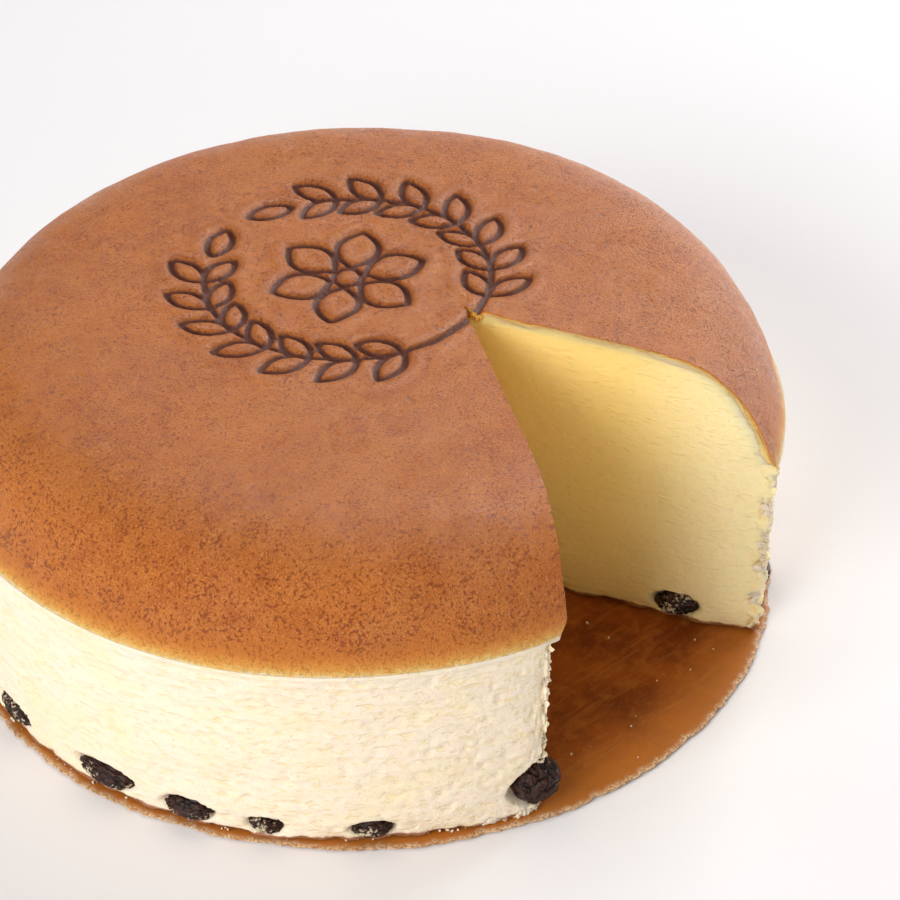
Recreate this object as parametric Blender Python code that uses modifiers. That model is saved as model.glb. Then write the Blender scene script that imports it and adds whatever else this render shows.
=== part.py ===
"""A round souffle cheesecake on its thin base sheet, with one wedge taken out and raisins at its foot.

Metres, +Z up.  The wedge opens towards -Y.  The cake's axis is vertical, and the finished model is moved
so that the middle of its box's underside is the origin.
"""
import math

import bpy
import bmesh
from mathutils import Matrix, Vector

# Driving dimensions, in metres and degrees
DOME_R = 0.0901           # radius at which the dome of the top would reach its foot
DOME_FOOT = 0.0452        # height of the dome's foot above the table
CROWN = 0.0252            # how far the middle of the top stands above the dome's foot
CROWN_POWER = 12.0        # a high power gives a flat top with a round shoulder
RIM_R = 0.0898            # widest radius of the crust
RIM_BEAD = 0.0022         # radius of the rounded edge at the rim
RIM_Z = 0.0459            # height of the widest place
SIDE_TOP_R = 0.0885       # radius of the crumb side just under the crust
SIDE_TOP = 0.0424         # height at which the side begins
FOOT_R = 0.0868           # radius of the side at the foot
SIDE_SWELL = 0.0006       # how far the side bulges between them
FOOT_ROUND = 0.0009       # rounding of the foot's lower edge

SHEET_R = 0.0890
SHEET_T = 0.0009
SHEET_BEVEL = 0.00025
GAP = 0.0003              # kept between touching pieces

# The outline isn't a true circle: (waves round the cake, size, phase in degrees)
PLAN_WAVES = ((2, 0.00045, 70.0), (3, 0.00030, 200.0), (5, 0.00015, 20.0))
LIFT_WAVES = ((1, 0.00080, 215.0), (3, 0.00030, 40.0))

CUT_TIP = (0.0156, -0.0166)       # where the two cuts meet, from the cake's axis
CUT_LEFT = -120.5                 # direction of the left cut
CUT_RIGHT = -67.2                 # direction of the right cut
CUT_REACH = 0.110                 # length of the cutters, well past the rim
TEAR_START = 0.055                # distance from the tip at which the cut begins to fall back
TEAR_END = 0.077                  # and where it has fallen back most
TEAR_STEPS = 6
CRUST_TEAR = 0.0008               # how far the crust's corner falls back from the straight cut
CRUMB_TEAR = 0.0044               # how far the softer crumb under it does
CRUMB_TEAR_TOP = 0.0442           # height of the crust's ragged edge over the torn crumb

ROUND_STEPS = 72                  # faces round the cake and the sheet

# Raisins at the rim: direction from the axis in degrees, how far the middle sits inside the side,
# length, height and depth, and tilt of the long axis in degrees
RIM_RAISINS = (
    (169.5, 0.0019, 0.0124, 0.0060, 0.0060, 4.0),
    (-171.2, 0.0019, 0.0145, 0.0062, 0.0062, 2.0),
    (-157.8, 0.0019, 0.0112, 0.0054, 0.0060, -3.0),
    (-147.1, 0.0019, 0.0074, 0.0040, 0.0052, 14.0),
    (-132.9, 0.0018, 0.0084, 0.0046, 0.0056, -5.0),
    (-50.0, 0.0018, 0.0108, 0.0056, 0.0060, 5.0),
    (-31.0, 0.0019, 0.0092, 0.0050, 0.0056, -8.0),
    (-9.0, 0.0018, 0.0128, 0.0058, 0.0062, 4.0),
    (14.0, 0.0019, 0.0080, 0.0044, 0.0052, 11.0),
    (41.0, 0.0018, 0.0112, 0.0054, 0.0060, -6.0),
    (64.0, 0.0019, 0.0096, 0.0052, 0.0056, 7.0),
    (88.0, 0.0018, 0.0134, 0.0058, 0.0062, -3.0),
    (112.0, 0.0019, 0.0084, 0.0044, 0.0054, 9.0),
    (131.0, 0.0018, 0.0104, 0.0056, 0.0058, -10.0),
    (150.0, 0.0018, 0.0118, 0.0054, 0.0060, 5.0),
)
# Raisins in the cut faces: distance of the middle from the tip, which cut, how far inside the
# straight cut, length along the cut, height, depth across it, tilt
CUT_RAISINS = (
    (0.0762, "left", 0.0066, 0.0090, 0.0110, 0.0112, 0.0),
    (0.0330, "left", 0.0018, 0.0094, 0.0052, 0.0056, 6.0),
    (0.0470, "right", 0.0018, 0.0102, 0.0054, 0.0056, -5.0),
)
RAISIN_SEGMENTS = 12
RAISIN_RINGS = 8
RAISIN_WRINKLE = 0.055            # depth of the folds, as a share of the raisin's radius


def waves(terms, angle):
    """Sum of the cosine terms at an angle in radians."""
    return sum(size * math.cos(count * angle - math.radians(phase)) for count, size, phase in terms)


def new_collection(name):
    """Make a collection and link it to the scene."""
    collection = bpy.data.collections.new(name)
    bpy.context.scene.collection.children.link(collection)
    return collection


def principled(name, color, roughness):
    """A plain Principled material."""
    material = bpy.data.materials.new(name)
    material.use_nodes = True
    shader = material.node_tree.nodes["Principled BSDF"]
    shader.inputs["Base Color"].default_value = (*color, 1.0)
    shader.inputs["Roughness"].default_value = roughness
    shader.inputs["Metallic"].default_value = 0.0
    material.diffuse_color = (*color, 1.0)
    return material


def add_object(name, mesh, collection, material=None):
    """Put a mesh into a collection as a named object."""
    obj = bpy.data.objects.new(name, mesh)
    collection.objects.link(obj)
    if material is not None:
        mesh.materials.append(material)
    return obj


def make_cutter(obj):
    """Mark an object as a cutter that is neither rendered nor built."""
    obj.hide_render = True
    obj.display_type = "WIRE"


def evaluated_mesh(obj):
    """The object's mesh with its modifiers applied, as a new mesh."""
    depsgraph = bpy.context.evaluated_depsgraph_get()
    return bpy.data.meshes.new_from_object(obj.evaluated_get(depsgraph))


def cake_profile():
    """Points (radius, height) down the outside, from the middle of the top to the middle of the foot."""
    foot = SHEET_T + GAP
    points = []
    for share in (0.0, 0.35, 0.56, 0.68, 0.76, 0.82, 0.87, 0.91, 0.942, 0.966, 0.984):
        points.append((DOME_R * share, DOME_FOOT + CROWN * (1.0 - share ** CROWN_POWER)))
    for degrees in (17.0, -5.0, -30.0, -55.0, -80.0):
        turn = math.radians(degrees)
        points.append((RIM_R - RIM_BEAD + RIM_BEAD * math.cos(turn), RIM_Z + RIM_BEAD * math.sin(turn)))
    for share in (0.0, 0.25, 0.5, 0.75, 1.0):
        radius = SIDE_TOP_R + (FOOT_R - SIDE_TOP_R) * share + SIDE_SWELL * math.sin(math.pi * share)
        points.append((radius, SIDE_TOP + (foot + FOOT_ROUND - SIDE_TOP) * share))
    points.append((FOOT_R - 0.3 * FOOT_ROUND, foot + 0.3 * FOOT_ROUND))
    points.append((FOOT_R - FOOT_ROUND, foot))
    points.append((0.0, foot))
    return points


def turned_mesh(points, steps, name):
    """Turn a profile about the Z axis with a Screw modifier and return the closed mesh."""
    mesh = bpy.data.meshes.new(name)
    edges = [(i, i + 1) for i in range(len(points) - 1)]
    mesh.from_pydata([(radius, 0.0, height) for radius, height in points], edges, [])
    obj = bpy.data.objects.new(name, mesh)
    bpy.context.scene.collection.objects.link(obj)
    screw = obj.modifiers.new("turn", "SCREW")
    screw.axis = "Z"
    screw.angle = 2.0 * math.pi
    screw.steps = steps
    screw.render_steps = steps
    screw.use_merge_vertices = True
    screw.merge_threshold = 0.00001
    bpy.context.view_layer.update()
    turned = evaluated_mesh(obj)
    bpy.data.objects.remove(obj)
    return turned


def make_uneven(mesh):
    """Move the turned cake's points out of round and lift its rim a little on one side."""
    for vertex in mesh.vertices:
        radius = math.hypot(vertex.co.x, vertex.co.y)
        if radius < 1e-6:
            continue
        angle = math.atan2(vertex.co.y, vertex.co.x)
        share = radius / RIM_R
        grow = 1.0 + waves(PLAN_WAVES, angle) * share ** 2 / RIM_R
        height = (vertex.co.z - SHEET_T - GAP) / SIDE_TOP
        vertex.co.x *= grow
        vertex.co.y *= grow
        vertex.co.z += waves(LIFT_WAVES, angle) * share ** 2 * min(1.0, height)


def cut_direction(side):
    """Unit vector along one of the two cuts, outwards from the tip."""
    angle = math.radians(CUT_LEFT if side == "left" else CUT_RIGHT)
    return Vector((math.cos(angle), math.sin(angle)))


def into_cake(side):
    """Unit vector across a cut, pointing into the cake that is left."""
    along = cut_direction(side)
    return Vector((along.y, -along.x)) if side == "left" else Vector((-along.y, along.x))


def tear(distance, depth):
    """How far a torn corner falls back from the straight cut at a distance from the tip."""
    share = min(max((distance - TEAR_START) / (TEAR_END - TEAR_START), 0.0), 1.0)
    return depth * share * share * (3.0 - 2.0 * share)


def cut_line(side, depth):
    """Points along a cut from the tip outwards, with the torn corner's curve."""
    tip = Vector(CUT_TIP)
    points = []
    for step in range(TEAR_STEPS + 1):
        distance = TEAR_START + (TEAR_END - TEAR_START) * step / TEAR_STEPS
        points.append(tip + cut_direction(side) * distance + into_cake(side) * tear(distance, depth))
    points.append(tip + cut_direction(side) * CUT_REACH + into_cake(side) * depth)
    return points


def wedge_cutter(name, collection, depth, top):
    """A wedge-shaped cutter: a flat outline, extruded from below the foot up to the height top."""
    outline = [Vector(CUT_TIP)] + cut_line("left", depth) + list(reversed(cut_line("right", depth)))
    curve = bpy.data.curves.new(name, "CURVE")
    curve.dimensions = "2D"
    curve.fill_mode = "BOTH"
    curve.extrude = top
    spline = curve.splines.new("POLY")
    spline.points.add(len(outline) - 1)
    for point, place in zip(spline.points, outline):
        point.co = (place.x, place.y, 0.0, 1.0)
    spline.use_cyclic_u = True
    guide = bpy.data.objects.new(name, curve)
    collection.objects.link(guide)
    bpy.context.view_layer.update()
    mesh = evaluated_mesh(guide)
    bpy.data.objects.remove(guide)
    work = bmesh.new()
    work.from_mesh(mesh)
    bmesh.ops.remove_doubles(work, verts=work.verts, dist=0.00001)
    bmesh.ops.recalc_face_normals(work, faces=work.faces)
    work.to_mesh(mesh)
    work.free()
    cutter = add_object(name, mesh, collection)
    make_cutter(cutter)
    return cutter


def raisin_mesh(name, size, seed, wrinkled):
    """An egg-shaped dried fruit; its folds only go inwards, so it always fits its pocket."""
    work = bmesh.new()
    bmesh.ops.create_uvsphere(work, u_segments=RAISIN_SEGMENTS, v_segments=RAISIN_RINGS, radius=1.0,
                              matrix=Matrix.Rotation(math.pi / 2.0, 4, "Y"))
    for vertex in work.verts:
        unit = vertex.co.normalized()
        dent = 0.0
        if wrinkled:
            around = math.atan2(unit.z, unit.y)
            fold = math.sin(5.0 * around + 2.2 * unit.x + seed)
            fold += math.sin(3.0 * around - 4.0 * unit.x + 2.0 * seed)
            dent = RAISIN_WRINKLE * (0.5 + 0.25 * fold) * (1.0 - 0.5 * unit.x ** 2)
        narrow = 1.0 - 0.10 * unit.x
        vertex.co = Vector((unit.x, unit.y * narrow, unit.z * narrow)) * (1.0 - dent)
        vertex.co.x *= size.x / 2.0
        vertex.co.y *= size.y / 2.0
        vertex.co.z *= size.z / 2.0
    mesh = bpy.data.meshes.new(name)
    work.to_mesh(mesh)
    work.free()
    mesh.shade_smooth()
    return mesh


def resting_height(size, tilt):
    """Height of a tilted raisin's middle when it lies just over the base sheet."""
    turn = math.radians(tilt)
    reach = math.hypot(size.z / 2.0 * math.cos(turn), size.x / 2.0 * math.sin(turn))
    return SHEET_T + 2.0 * GAP + 1.1 * reach


def raisin_places():
    """Each raisin as (middle, heading of its long axis, tilt, size as length, depth, height)."""
    places = []
    for direction, inside, length, height, depth, tilt in RIM_RAISINS:
        angle = math.radians(direction)
        radius = FOOT_R + waves(PLAN_WAVES, angle) - inside
        size = Vector((length, depth, height))
        middle = Vector((radius * math.cos(angle), radius * math.sin(angle), resting_height(size, tilt)))
        places.append((middle, angle + math.pi / 2.0, tilt, size))
    for distance, side, inside, length, height, depth, tilt in CUT_RAISINS:
        flat = Vector(CUT_TIP) + cut_direction(side) * distance + into_cake(side) * inside
        heading = math.atan2(cut_direction(side).y, cut_direction(side).x)
        size = Vector((length, depth, height))
        places.append((Vector((flat.x, flat.y, resting_height(size, tilt))), heading, tilt, size))
    return places


def place_raisin(obj, middle, heading, tilt):
    """Set a raisin's or pocket's place and turn."""
    obj.location = middle
    obj.rotation_euler = (0.0, math.radians(tilt), heading)


def build():
    """Build the whole object."""
    for obj in list(bpy.data.objects):
        bpy.data.objects.remove(obj)
    parts = new_collection("jiggly_cheesecake")
    cutters = new_collection("cutters")
    crumb = principled("cake_crumb", (0.90, 0.76, 0.46), 0.80)
    sheet_brown = principled("browned_sheet", (0.42, 0.18, 0.06), 0.75)
    raisin_dark = principled("raisin_skin", (0.045, 0.022, 0.014), 0.50)

    cake_mesh = turned_mesh(cake_profile(), ROUND_STEPS, "cake")
    make_uneven(cake_mesh)
    cake_mesh.shade_smooth()
    cake_mesh.set_sharp_from_angle(angle=math.radians(35.0))
    cake = add_object("cake", cake_mesh, parts, crumb)
    cut_outs = [
        wedge_cutter("wedge_cutter", cutters, CRUST_TEAR, DOME_FOOT + 2.0 * CROWN),
        wedge_cutter("crumb_tear_cutter", cutters, CRUMB_TEAR, CRUMB_TEAR_TOP),
    ]

    raisins = []
    for number, (middle, heading, tilt, size) in enumerate(raisin_places(), start=1):
        name = f"raisin_{number:02d}"
        raisin = add_object(name, raisin_mesh(name, size, 1.7 * number, True), parts, raisin_dark)
        place_raisin(raisin, middle, heading, tilt)
        raisins.append(raisin)
        room = size + Vector((1.0, 1.0, 1.0)) * 2.0 * GAP
        pocket = add_object(f"pocket_{number:02d}", raisin_mesh("pocket", room, 0.0, False), cutters)
        place_raisin(pocket, middle, heading, tilt)
        make_cutter(pocket)
        cut_outs.append(pocket)

    for cutter in cut_outs:
        cut = cake.modifiers.new(cutter.name, "BOOLEAN")
        cut.operation = "DIFFERENCE"
        cut.solver = "EXACT"
        cut.object = cutter

    bpy.ops.mesh.primitive_cylinder_add(vertices=ROUND_STEPS, radius=SHEET_R, depth=SHEET_T,
                                        location=(0.0, 0.0, SHEET_T / 2.0))
    sheet = bpy.context.object
    sheet.name = "base_sheet"
    for collection in list(sheet.users_collection):
        collection.objects.unlink(sheet)
    parts.objects.link(sheet)
    sheet.data.materials.append(sheet_brown)
    bevel = sheet.modifiers.new("soft_edge", "BEVEL")
    bevel.width = SHEET_BEVEL
    bevel.segments = 1
    bevel.limit_method = "ANGLE"
    centre_on_box(parts, cutters)


def centre_on_box(parts, cutters):
    """Move everything so that the middle of the box's underside is the origin."""
    bpy.context.view_layer.update()
    depsgraph = bpy.context.evaluated_depsgraph_get()
    corners = []
    for obj in parts.objects:
        shape = obj.evaluated_get(depsgraph)
        corners.extend(shape.matrix_world @ vertex.co for vertex in shape.data.vertices)
    low = Vector([min(corner[i] for corner in corners) for i in range(3)])
    high = Vector([max(corner[i] for corner in corners) for i in range(3)])
    move = Vector((-(low.x + high.x) / 2.0, -(low.y + high.y) / 2.0, -low.z))
    for obj in list(parts.objects) + list(cutters.objects):
        obj.location += move
    bpy.context.view_layer.update()


build()
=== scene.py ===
"""A souffle cheesecake with one wedge taken out: its looks, laid out as a Blender add-on.

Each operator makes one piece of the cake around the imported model, and the last one sets the stage.
"""
import math

import bmesh
import bpy
import numpy as np
from bpy.props import FloatProperty, FloatVectorProperty, IntProperty, PointerProperty
from mathutils import Matrix, Vector, noise


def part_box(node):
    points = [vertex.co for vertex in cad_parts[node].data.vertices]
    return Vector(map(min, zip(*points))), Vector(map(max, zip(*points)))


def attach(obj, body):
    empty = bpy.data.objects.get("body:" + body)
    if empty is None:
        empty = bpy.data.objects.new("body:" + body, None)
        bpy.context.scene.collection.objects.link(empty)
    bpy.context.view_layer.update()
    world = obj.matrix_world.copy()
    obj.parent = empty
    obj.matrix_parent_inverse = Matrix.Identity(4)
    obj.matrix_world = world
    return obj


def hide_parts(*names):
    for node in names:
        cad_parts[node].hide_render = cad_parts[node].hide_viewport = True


bl_info = {
    "name": "Souffle Cheesecake",
    "version": (1, 0, 0),
    "blender": (4, 5, 0),
    "location": "View3D > Sidebar > Cheesecake",
    "description": "Makes a souffle cheesecake with a missing wedge, its base sheet, raisins and crumbs",
    "category": "Add Mesh",
}

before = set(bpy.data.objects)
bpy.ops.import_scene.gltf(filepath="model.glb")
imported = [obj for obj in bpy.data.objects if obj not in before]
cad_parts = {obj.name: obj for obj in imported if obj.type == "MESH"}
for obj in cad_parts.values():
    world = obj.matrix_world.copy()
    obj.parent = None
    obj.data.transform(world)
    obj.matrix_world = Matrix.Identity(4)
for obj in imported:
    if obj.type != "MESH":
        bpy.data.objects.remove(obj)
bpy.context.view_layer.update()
SHEET_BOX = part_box("base_sheet")

MM = 0.001
AXIS = np.array([(SHEET_BOX[0].x + SHEET_BOX[1].x) / 2.0, (SHEET_BOX[0].y + SHEET_BOX[1].y) / 2.0, 0.0])
SHEET_R = (SHEET_BOX[1].x - SHEET_BOX[0].x) / 2.0
SHEET_TOP = SHEET_BOX[1].z
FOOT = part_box("cake")[0].z

# The cake's form, as the solids have it (metres and degrees, from the cake's axis)
DOME_R = 0.0901             # radius at which the top would reach the dome's foot
DOME_FOOT = 0.0452          # height of the dome's foot
CROWN = 0.0252              # height of the middle of the top above it
CROWN_POWER = 12.0          # a high power gives a flat top with a round shoulder
RIM_R = 0.0898              # widest radius of the crust
RIM_BEAD = 0.0022           # radius of its rounded edge
RIM_Z = 0.0459              # height of the widest place
BEAD_START = 17.0           # angles at which the rounded edge begins and ends
BEAD_END = -24.0
SIDE_TOP_R = 0.0885         # radius of the crumb's side at its top
SIDE_TOP = 0.0424
FOOT_R = 0.0868             # and at its foot
SIDE_SWELL = 0.0006
PLAN_WAVES = ((2, 0.00045, 70.0), (3, 0.00030, 200.0), (5, 0.00015, 20.0))
LIFT_WAVES = ((1, 0.00080, 215.0), (3, 0.00030, 40.0))
CUT_TIP = np.array([0.0156, -0.0166])
CUT_LEFT = math.radians(-120.5)
CUT_RIGHT = math.radians(-67.2)
WEDGE_MIDDLE = (CUT_LEFT + CUT_RIGHT) / 2.0
TEAR_START = 0.055          # distances from the tip between which a cut's corner falls back
TEAR_END = 0.077
CRUST_TEAR = 0.0006         # how far it falls back: the crust, its lower edge, the crumb and the foot
EDGE_TEAR = 0.0030
CRUMB_TEAR = 0.0042
FOOT_TEAR = 0.0056
CRUST_T = 0.0009            # thickness of the crust along the cuts, and what it gains further in
BODY_T = 0.0016
CORNER_RAISIN = "raisin_16"

# Rows of the crust's top that its underside keeps: closer together at the tip and near the rim
UNDER_ROWS = (0, 2, 4, 7, 12, 40, 80, 111, 122, 132, 140, 147)

# Where the seared mark sits
MARK_MIDDLE = np.array([0.0075, 0.0095])
MARK_TURN = math.radians(4.0)

# Relief of the top (depth, size and seed of each noise) and of the torn places, in metres
TOP_RELIEF = ((0.00022, 0.0170, 3.0), (0.00012, 0.0055, 5.0), (0.00004, 0.0016, 9.0))
RAGGED_CUT = 0.0009         # distance from a cut within which the crust's edge is ragged
BEAD_INSET = 0.00010        # how far the crumb lies inside the crust's rounded edge
BEAD_LAP = 0.00032          # how much further out it lies below that edge's end
TUCK_START = 0.0340         # height at which the side begins to turn in behind the crust
TUCK_HEIGHT = 0.0110
TORN_WIDTH = 0.0024         # reach and depth of the tearing at the wedge's two corners
TORN_DEPTH = 0.0022
FOOT_RAGGED = 0.0011        # depth and height of the ragged foot
FOOT_RAGGED_HEIGHT = 0.0016
HOLLOW_DEPTH = 0.0030       # depth of the hollows round the raisins

# Smaller touches of colour, linear
CRUST_PAINTED_SHEEN = (0.60, 0.225, 0.085, 1.0)         # painted sheen: the crust's paler, redder patches
GRAIN_LIGHT = (0.74, 0.27, 0.050, 1.0)          # its fine grain, light and dark
GRAIN_DARK = (0.34, 0.062, 0.003, 1.0)
PAINTED_GLINT = (0.82, 0.50, 0.30, 1.0)                 # painted glints: small bright flecks of it
BROWN_SPOT = (0.34, 0.085, 0.012, 1.0)          # scattered darker spots
SCORCH = (0.36, 0.115, 0.035, 1.0)              # browning beside the seared lines
CREASE_PAINTED_SHADE = (0.97, 0.79, 0.50, 1.0)            # painted shade in the long creases of the crumb's side
DIMPLE_PAINTED_SHADE = (0.97, 0.75, 0.42, 1.0)         # painted shade in the dimples of the crumb's side
KNOB_HOLLOW_SHADE = (0.93, 0.66, 0.24, 1.0)           # painted shade in the hollows between the knobs of a cut face
BROWNED_AND_SHADED_FOOT = (0.26, 0.060, 0.006, 1.0)        # thin browned line at the foot, partly painted shade where it meets the sheet
SHEET_FLECK = (0.66, 0.33, 0.12, 1.0)           # paler flecks of the base sheet
FRAY_DARK = (0.42, 0.19, 0.070, 1.0)            # its frayed edge
FRAY_LIGHT = (0.86, 0.66, 0.40, 1.0)
RAISIN_RED = (0.13, 0.050, 0.026, 1.0)          # redder patches of a raisin
CLINGING_CRUMB = (0.80, 0.66, 0.44, 1.0)        # crumb that clings to it
FLAKE_DARK = (0.74, 0.30, 0.030)                # torn flakes of the crust
FLAKE_LIGHT = (0.93, 0.56, 0.13)

# Loose crumbs: how many of each kind
CORNER_CRUMBS = 260
FOOT_CRUMBS = 460
LOOSE_CRUMBS = 22
CRUST_FLAKES = 34
TORN_CLODS = 20

# Lights: name, place across the view, away and up, size, tint
LIGHTS = (
    ("key", (-0.62, -0.82, 0.62), (0.8, 0.6), (0.985, 0.985, 1.0)),
    ("window", (0.92, 1.15, 0.36), (1.1, 0.30), (1.0, 0.97, 0.98)),
    ("behind", (0.74, 1.02, 0.60), (1.0, 0.8), (0.99, 0.99, 1.0)),
)


# ---------------------------------------------------------------- form of the cake

def waves(terms, angle):
    """Sum of the cosine terms at an angle in radians."""
    return sum(size * np.cos(count * angle - math.radians(phase)) for count, size, phase in terms)


def dome(radius):
    """Height of the top at a distance from the axis."""
    share = np.clip(radius / DOME_R, 0.0, 1.2)
    return DOME_FOOT + CROWN * (1.0 - share ** CROWN_POWER)


def uneven(points):
    """Move points of the true round form to the cake's own uneven outline and rim height."""
    radius = np.hypot(points[..., 0], points[..., 1])
    angle = np.arctan2(points[..., 1], points[..., 0])
    share = (radius / RIM_R) ** 2
    grow = 1.0 + waves(PLAN_WAVES, angle) * share / RIM_R
    height = np.clip((points[..., 2] - FOOT) / SIDE_TOP, 0.0, 1.0)
    moved = points.copy()
    moved[..., 0] *= grow
    moved[..., 1] *= grow
    moved[..., 2] += waves(LIFT_WAVES, angle) * share * height
    return moved


def dome_slope(radius):
    """Fall of the top for each metre outwards."""
    share = np.clip(radius / DOME_R, 0.0, 1.2)
    return CROWN * CROWN_POWER / DOME_R * share ** (CROWN_POWER - 1.0)


def dome_arc(radius):
    """Distance along the top's profile, outwards from the axis."""
    sample = np.linspace(0.0, DOME_R, 2000)
    steps = np.hypot(np.diff(sample), np.diff(dome(sample)))
    return np.interp(radius, sample, np.concatenate([[0.0], np.cumsum(steps)]))


def cut_frame(side):
    """Unit vectors along a cut, outwards, and across it into the cake that is left."""
    angle = CUT_LEFT if side == "left" else CUT_RIGHT
    along = np.array([math.cos(angle), math.sin(angle)])
    across = np.array([along[1], -along[0]]) if side == "left" else np.array([-along[1], along[0]])
    return along, across


def rim_angle(side, radius):
    """Direction from the axis at which a cut meets a circle."""
    along, _ = cut_frame(side)
    reach = CUT_TIP @ along
    distance = -reach + np.sqrt(reach * reach - (CUT_TIP @ CUT_TIP - radius * radius))
    x = CUT_TIP[0] + along[0] * distance
    y = CUT_TIP[1] + along[1] * distance
    angle = np.arctan2(y, x)
    return np.where(angle < -math.pi / 2.0, angle + 2.0 * math.pi, angle), distance


def cut_distance(flat, side):
    """Distance of flat points from the part of a cut's line that runs outwards from the tip."""
    along, across = cut_frame(side)
    reach = np.minimum((flat - CUT_TIP) @ along, 0.0)
    return np.hypot((flat - CUT_TIP) @ across, reach)


def smooth(share):
    """Smooth step from 0 to 1."""
    share = np.clip(share, 0.0, 1.0)
    return share * share * (3.0 - 2.0 * share)


def crust_tear(height):
    """How far the crust's corner falls back at a height: more at its lower edge."""
    return CRUST_TEAR + (EDGE_TEAR - CRUST_TEAR) * smooth((0.0505 - height) / 0.0060)


def fall_back(points, depth, reach=0.013):
    """Move points near the two torn corners into the cake. depth is an array with one value a point."""
    moved = points.copy()
    for side in ("left", "right"):
        along, across = cut_frame(side)
        rel = points[..., :2] - CUT_TIP
        distance = rel @ along
        inside = rel @ across
        fade = np.clip(1.0 - np.maximum(inside, 0.0) / reach, 0.0, 1.0) ** 2
        shift = depth * smooth((distance - TEAR_START) / (TEAR_END - TEAR_START)) * fade
        shift = np.where(distance > 0.0, shift, 0.0)
        moved[..., 0] += across[0] * shift
        moved[..., 1] += across[1] * shift
    return moved


def noise_at(points, size, seed=0.0, stretch=(1.0, 1.0, 1.0)):
    """Smooth noise from -1 to 1 at each point, with features about as large as size, in metres."""
    flat = (points.reshape(-1, 3) / (np.array(stretch) * size) + np.array([seed, seed * 1.7, -seed])).tolist()
    value = np.fromiter((noise.noise(place) for place in flat), float, len(flat))
    return np.clip(value * 1.6, -1.0, 1.0).reshape(points.shape[:-1])


def polar(points, radius=0.088):
    """Distance round the rim, distance from the axis, height: a space in which the side and top are flat."""
    angle = np.arctan2(points[..., 1], points[..., 0])
    angle = np.where(angle < WEDGE_MIDDLE, angle + math.tau, angle)
    out = np.empty(points.shape)
    out[..., 0] = angle * radius
    out[..., 1] = np.hypot(points[..., 0], points[..., 1])
    out[..., 2] = points[..., 2]
    return out


# ---------------------------------------------------------------- meshes

def grid_quads(index):
    """Quads between neighbouring rows and columns of a table of point numbers."""
    first, second = index[:-1, :-1], index[1:, :-1]
    third, fourth = index[1:, 1:], index[:-1, 1:]
    return np.stack([first, second, third, fourth], -1).reshape(-1, 4).tolist()


def add_piece(name, points, faces, attributes=None, smooth_shade=True):
    """A mesh object at the origin, from points about the cake's axis."""
    mesh = bpy.data.meshes.new(name)
    mesh.from_pydata((points.reshape(-1, 3) + AXIS).tolist(), [], faces)
    for label, values in (attributes or {}).items():
        layer = mesh.attributes.new(label, "FLOAT", "POINT")
        layer.data.foreach_set("value", np.ascontiguousarray(values, dtype=np.float32).ravel())
    mesh.validate()
    if smooth_shade:
        mesh.shade_smooth()
    obj = bpy.data.objects.new(name, mesh)
    bpy.context.scene.collection.objects.link(obj)
    return obj


def volume(mesh):
    """Signed volume of a closed mesh."""
    work = bmesh.new()
    work.from_mesh(mesh)
    size = work.calc_volume(signed=True)
    work.free()
    return size


def face_outwards(obj):
    """Turn a closed piece the right way out."""
    if volume(obj.data) < 0.0:
        obj.data.flip_normals()


def align_faces(obj):
    """Turn all faces of a closed piece the same way, and outwards."""
    work = bmesh.new()
    work.from_mesh(obj.data)
    bmesh.ops.recalc_face_normals(work, faces=work.faces)
    work.to_mesh(obj.data)
    work.free()
    face_outwards(obj)


def applied(obj, name):
    """Replace an object with a plain mesh of its evaluated shape, and drop its modifiers."""
    bpy.context.view_layer.update()
    depsgraph = bpy.context.evaluated_depsgraph_get()
    mesh = bpy.data.meshes.new_from_object(obj.evaluated_get(depsgraph), depsgraph=depsgraph)
    made = bpy.data.objects.new(name, mesh)
    bpy.context.scene.collection.objects.link(made)
    old = obj.data
    bpy.data.objects.remove(obj)
    if old.users == 0 and isinstance(old, bpy.types.Mesh):
        bpy.data.meshes.remove(old)
    made.name = name
    mesh.name = name
    return made


def settle(obj, slot, *nodes):
    """Let a finished piece ride on the cake's body, and hide the solids it stands for."""
    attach(obj, "root")
    if nodes:
        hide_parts(*nodes)
    return obj


# ---------------------------------------------------------------- material helper

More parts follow.
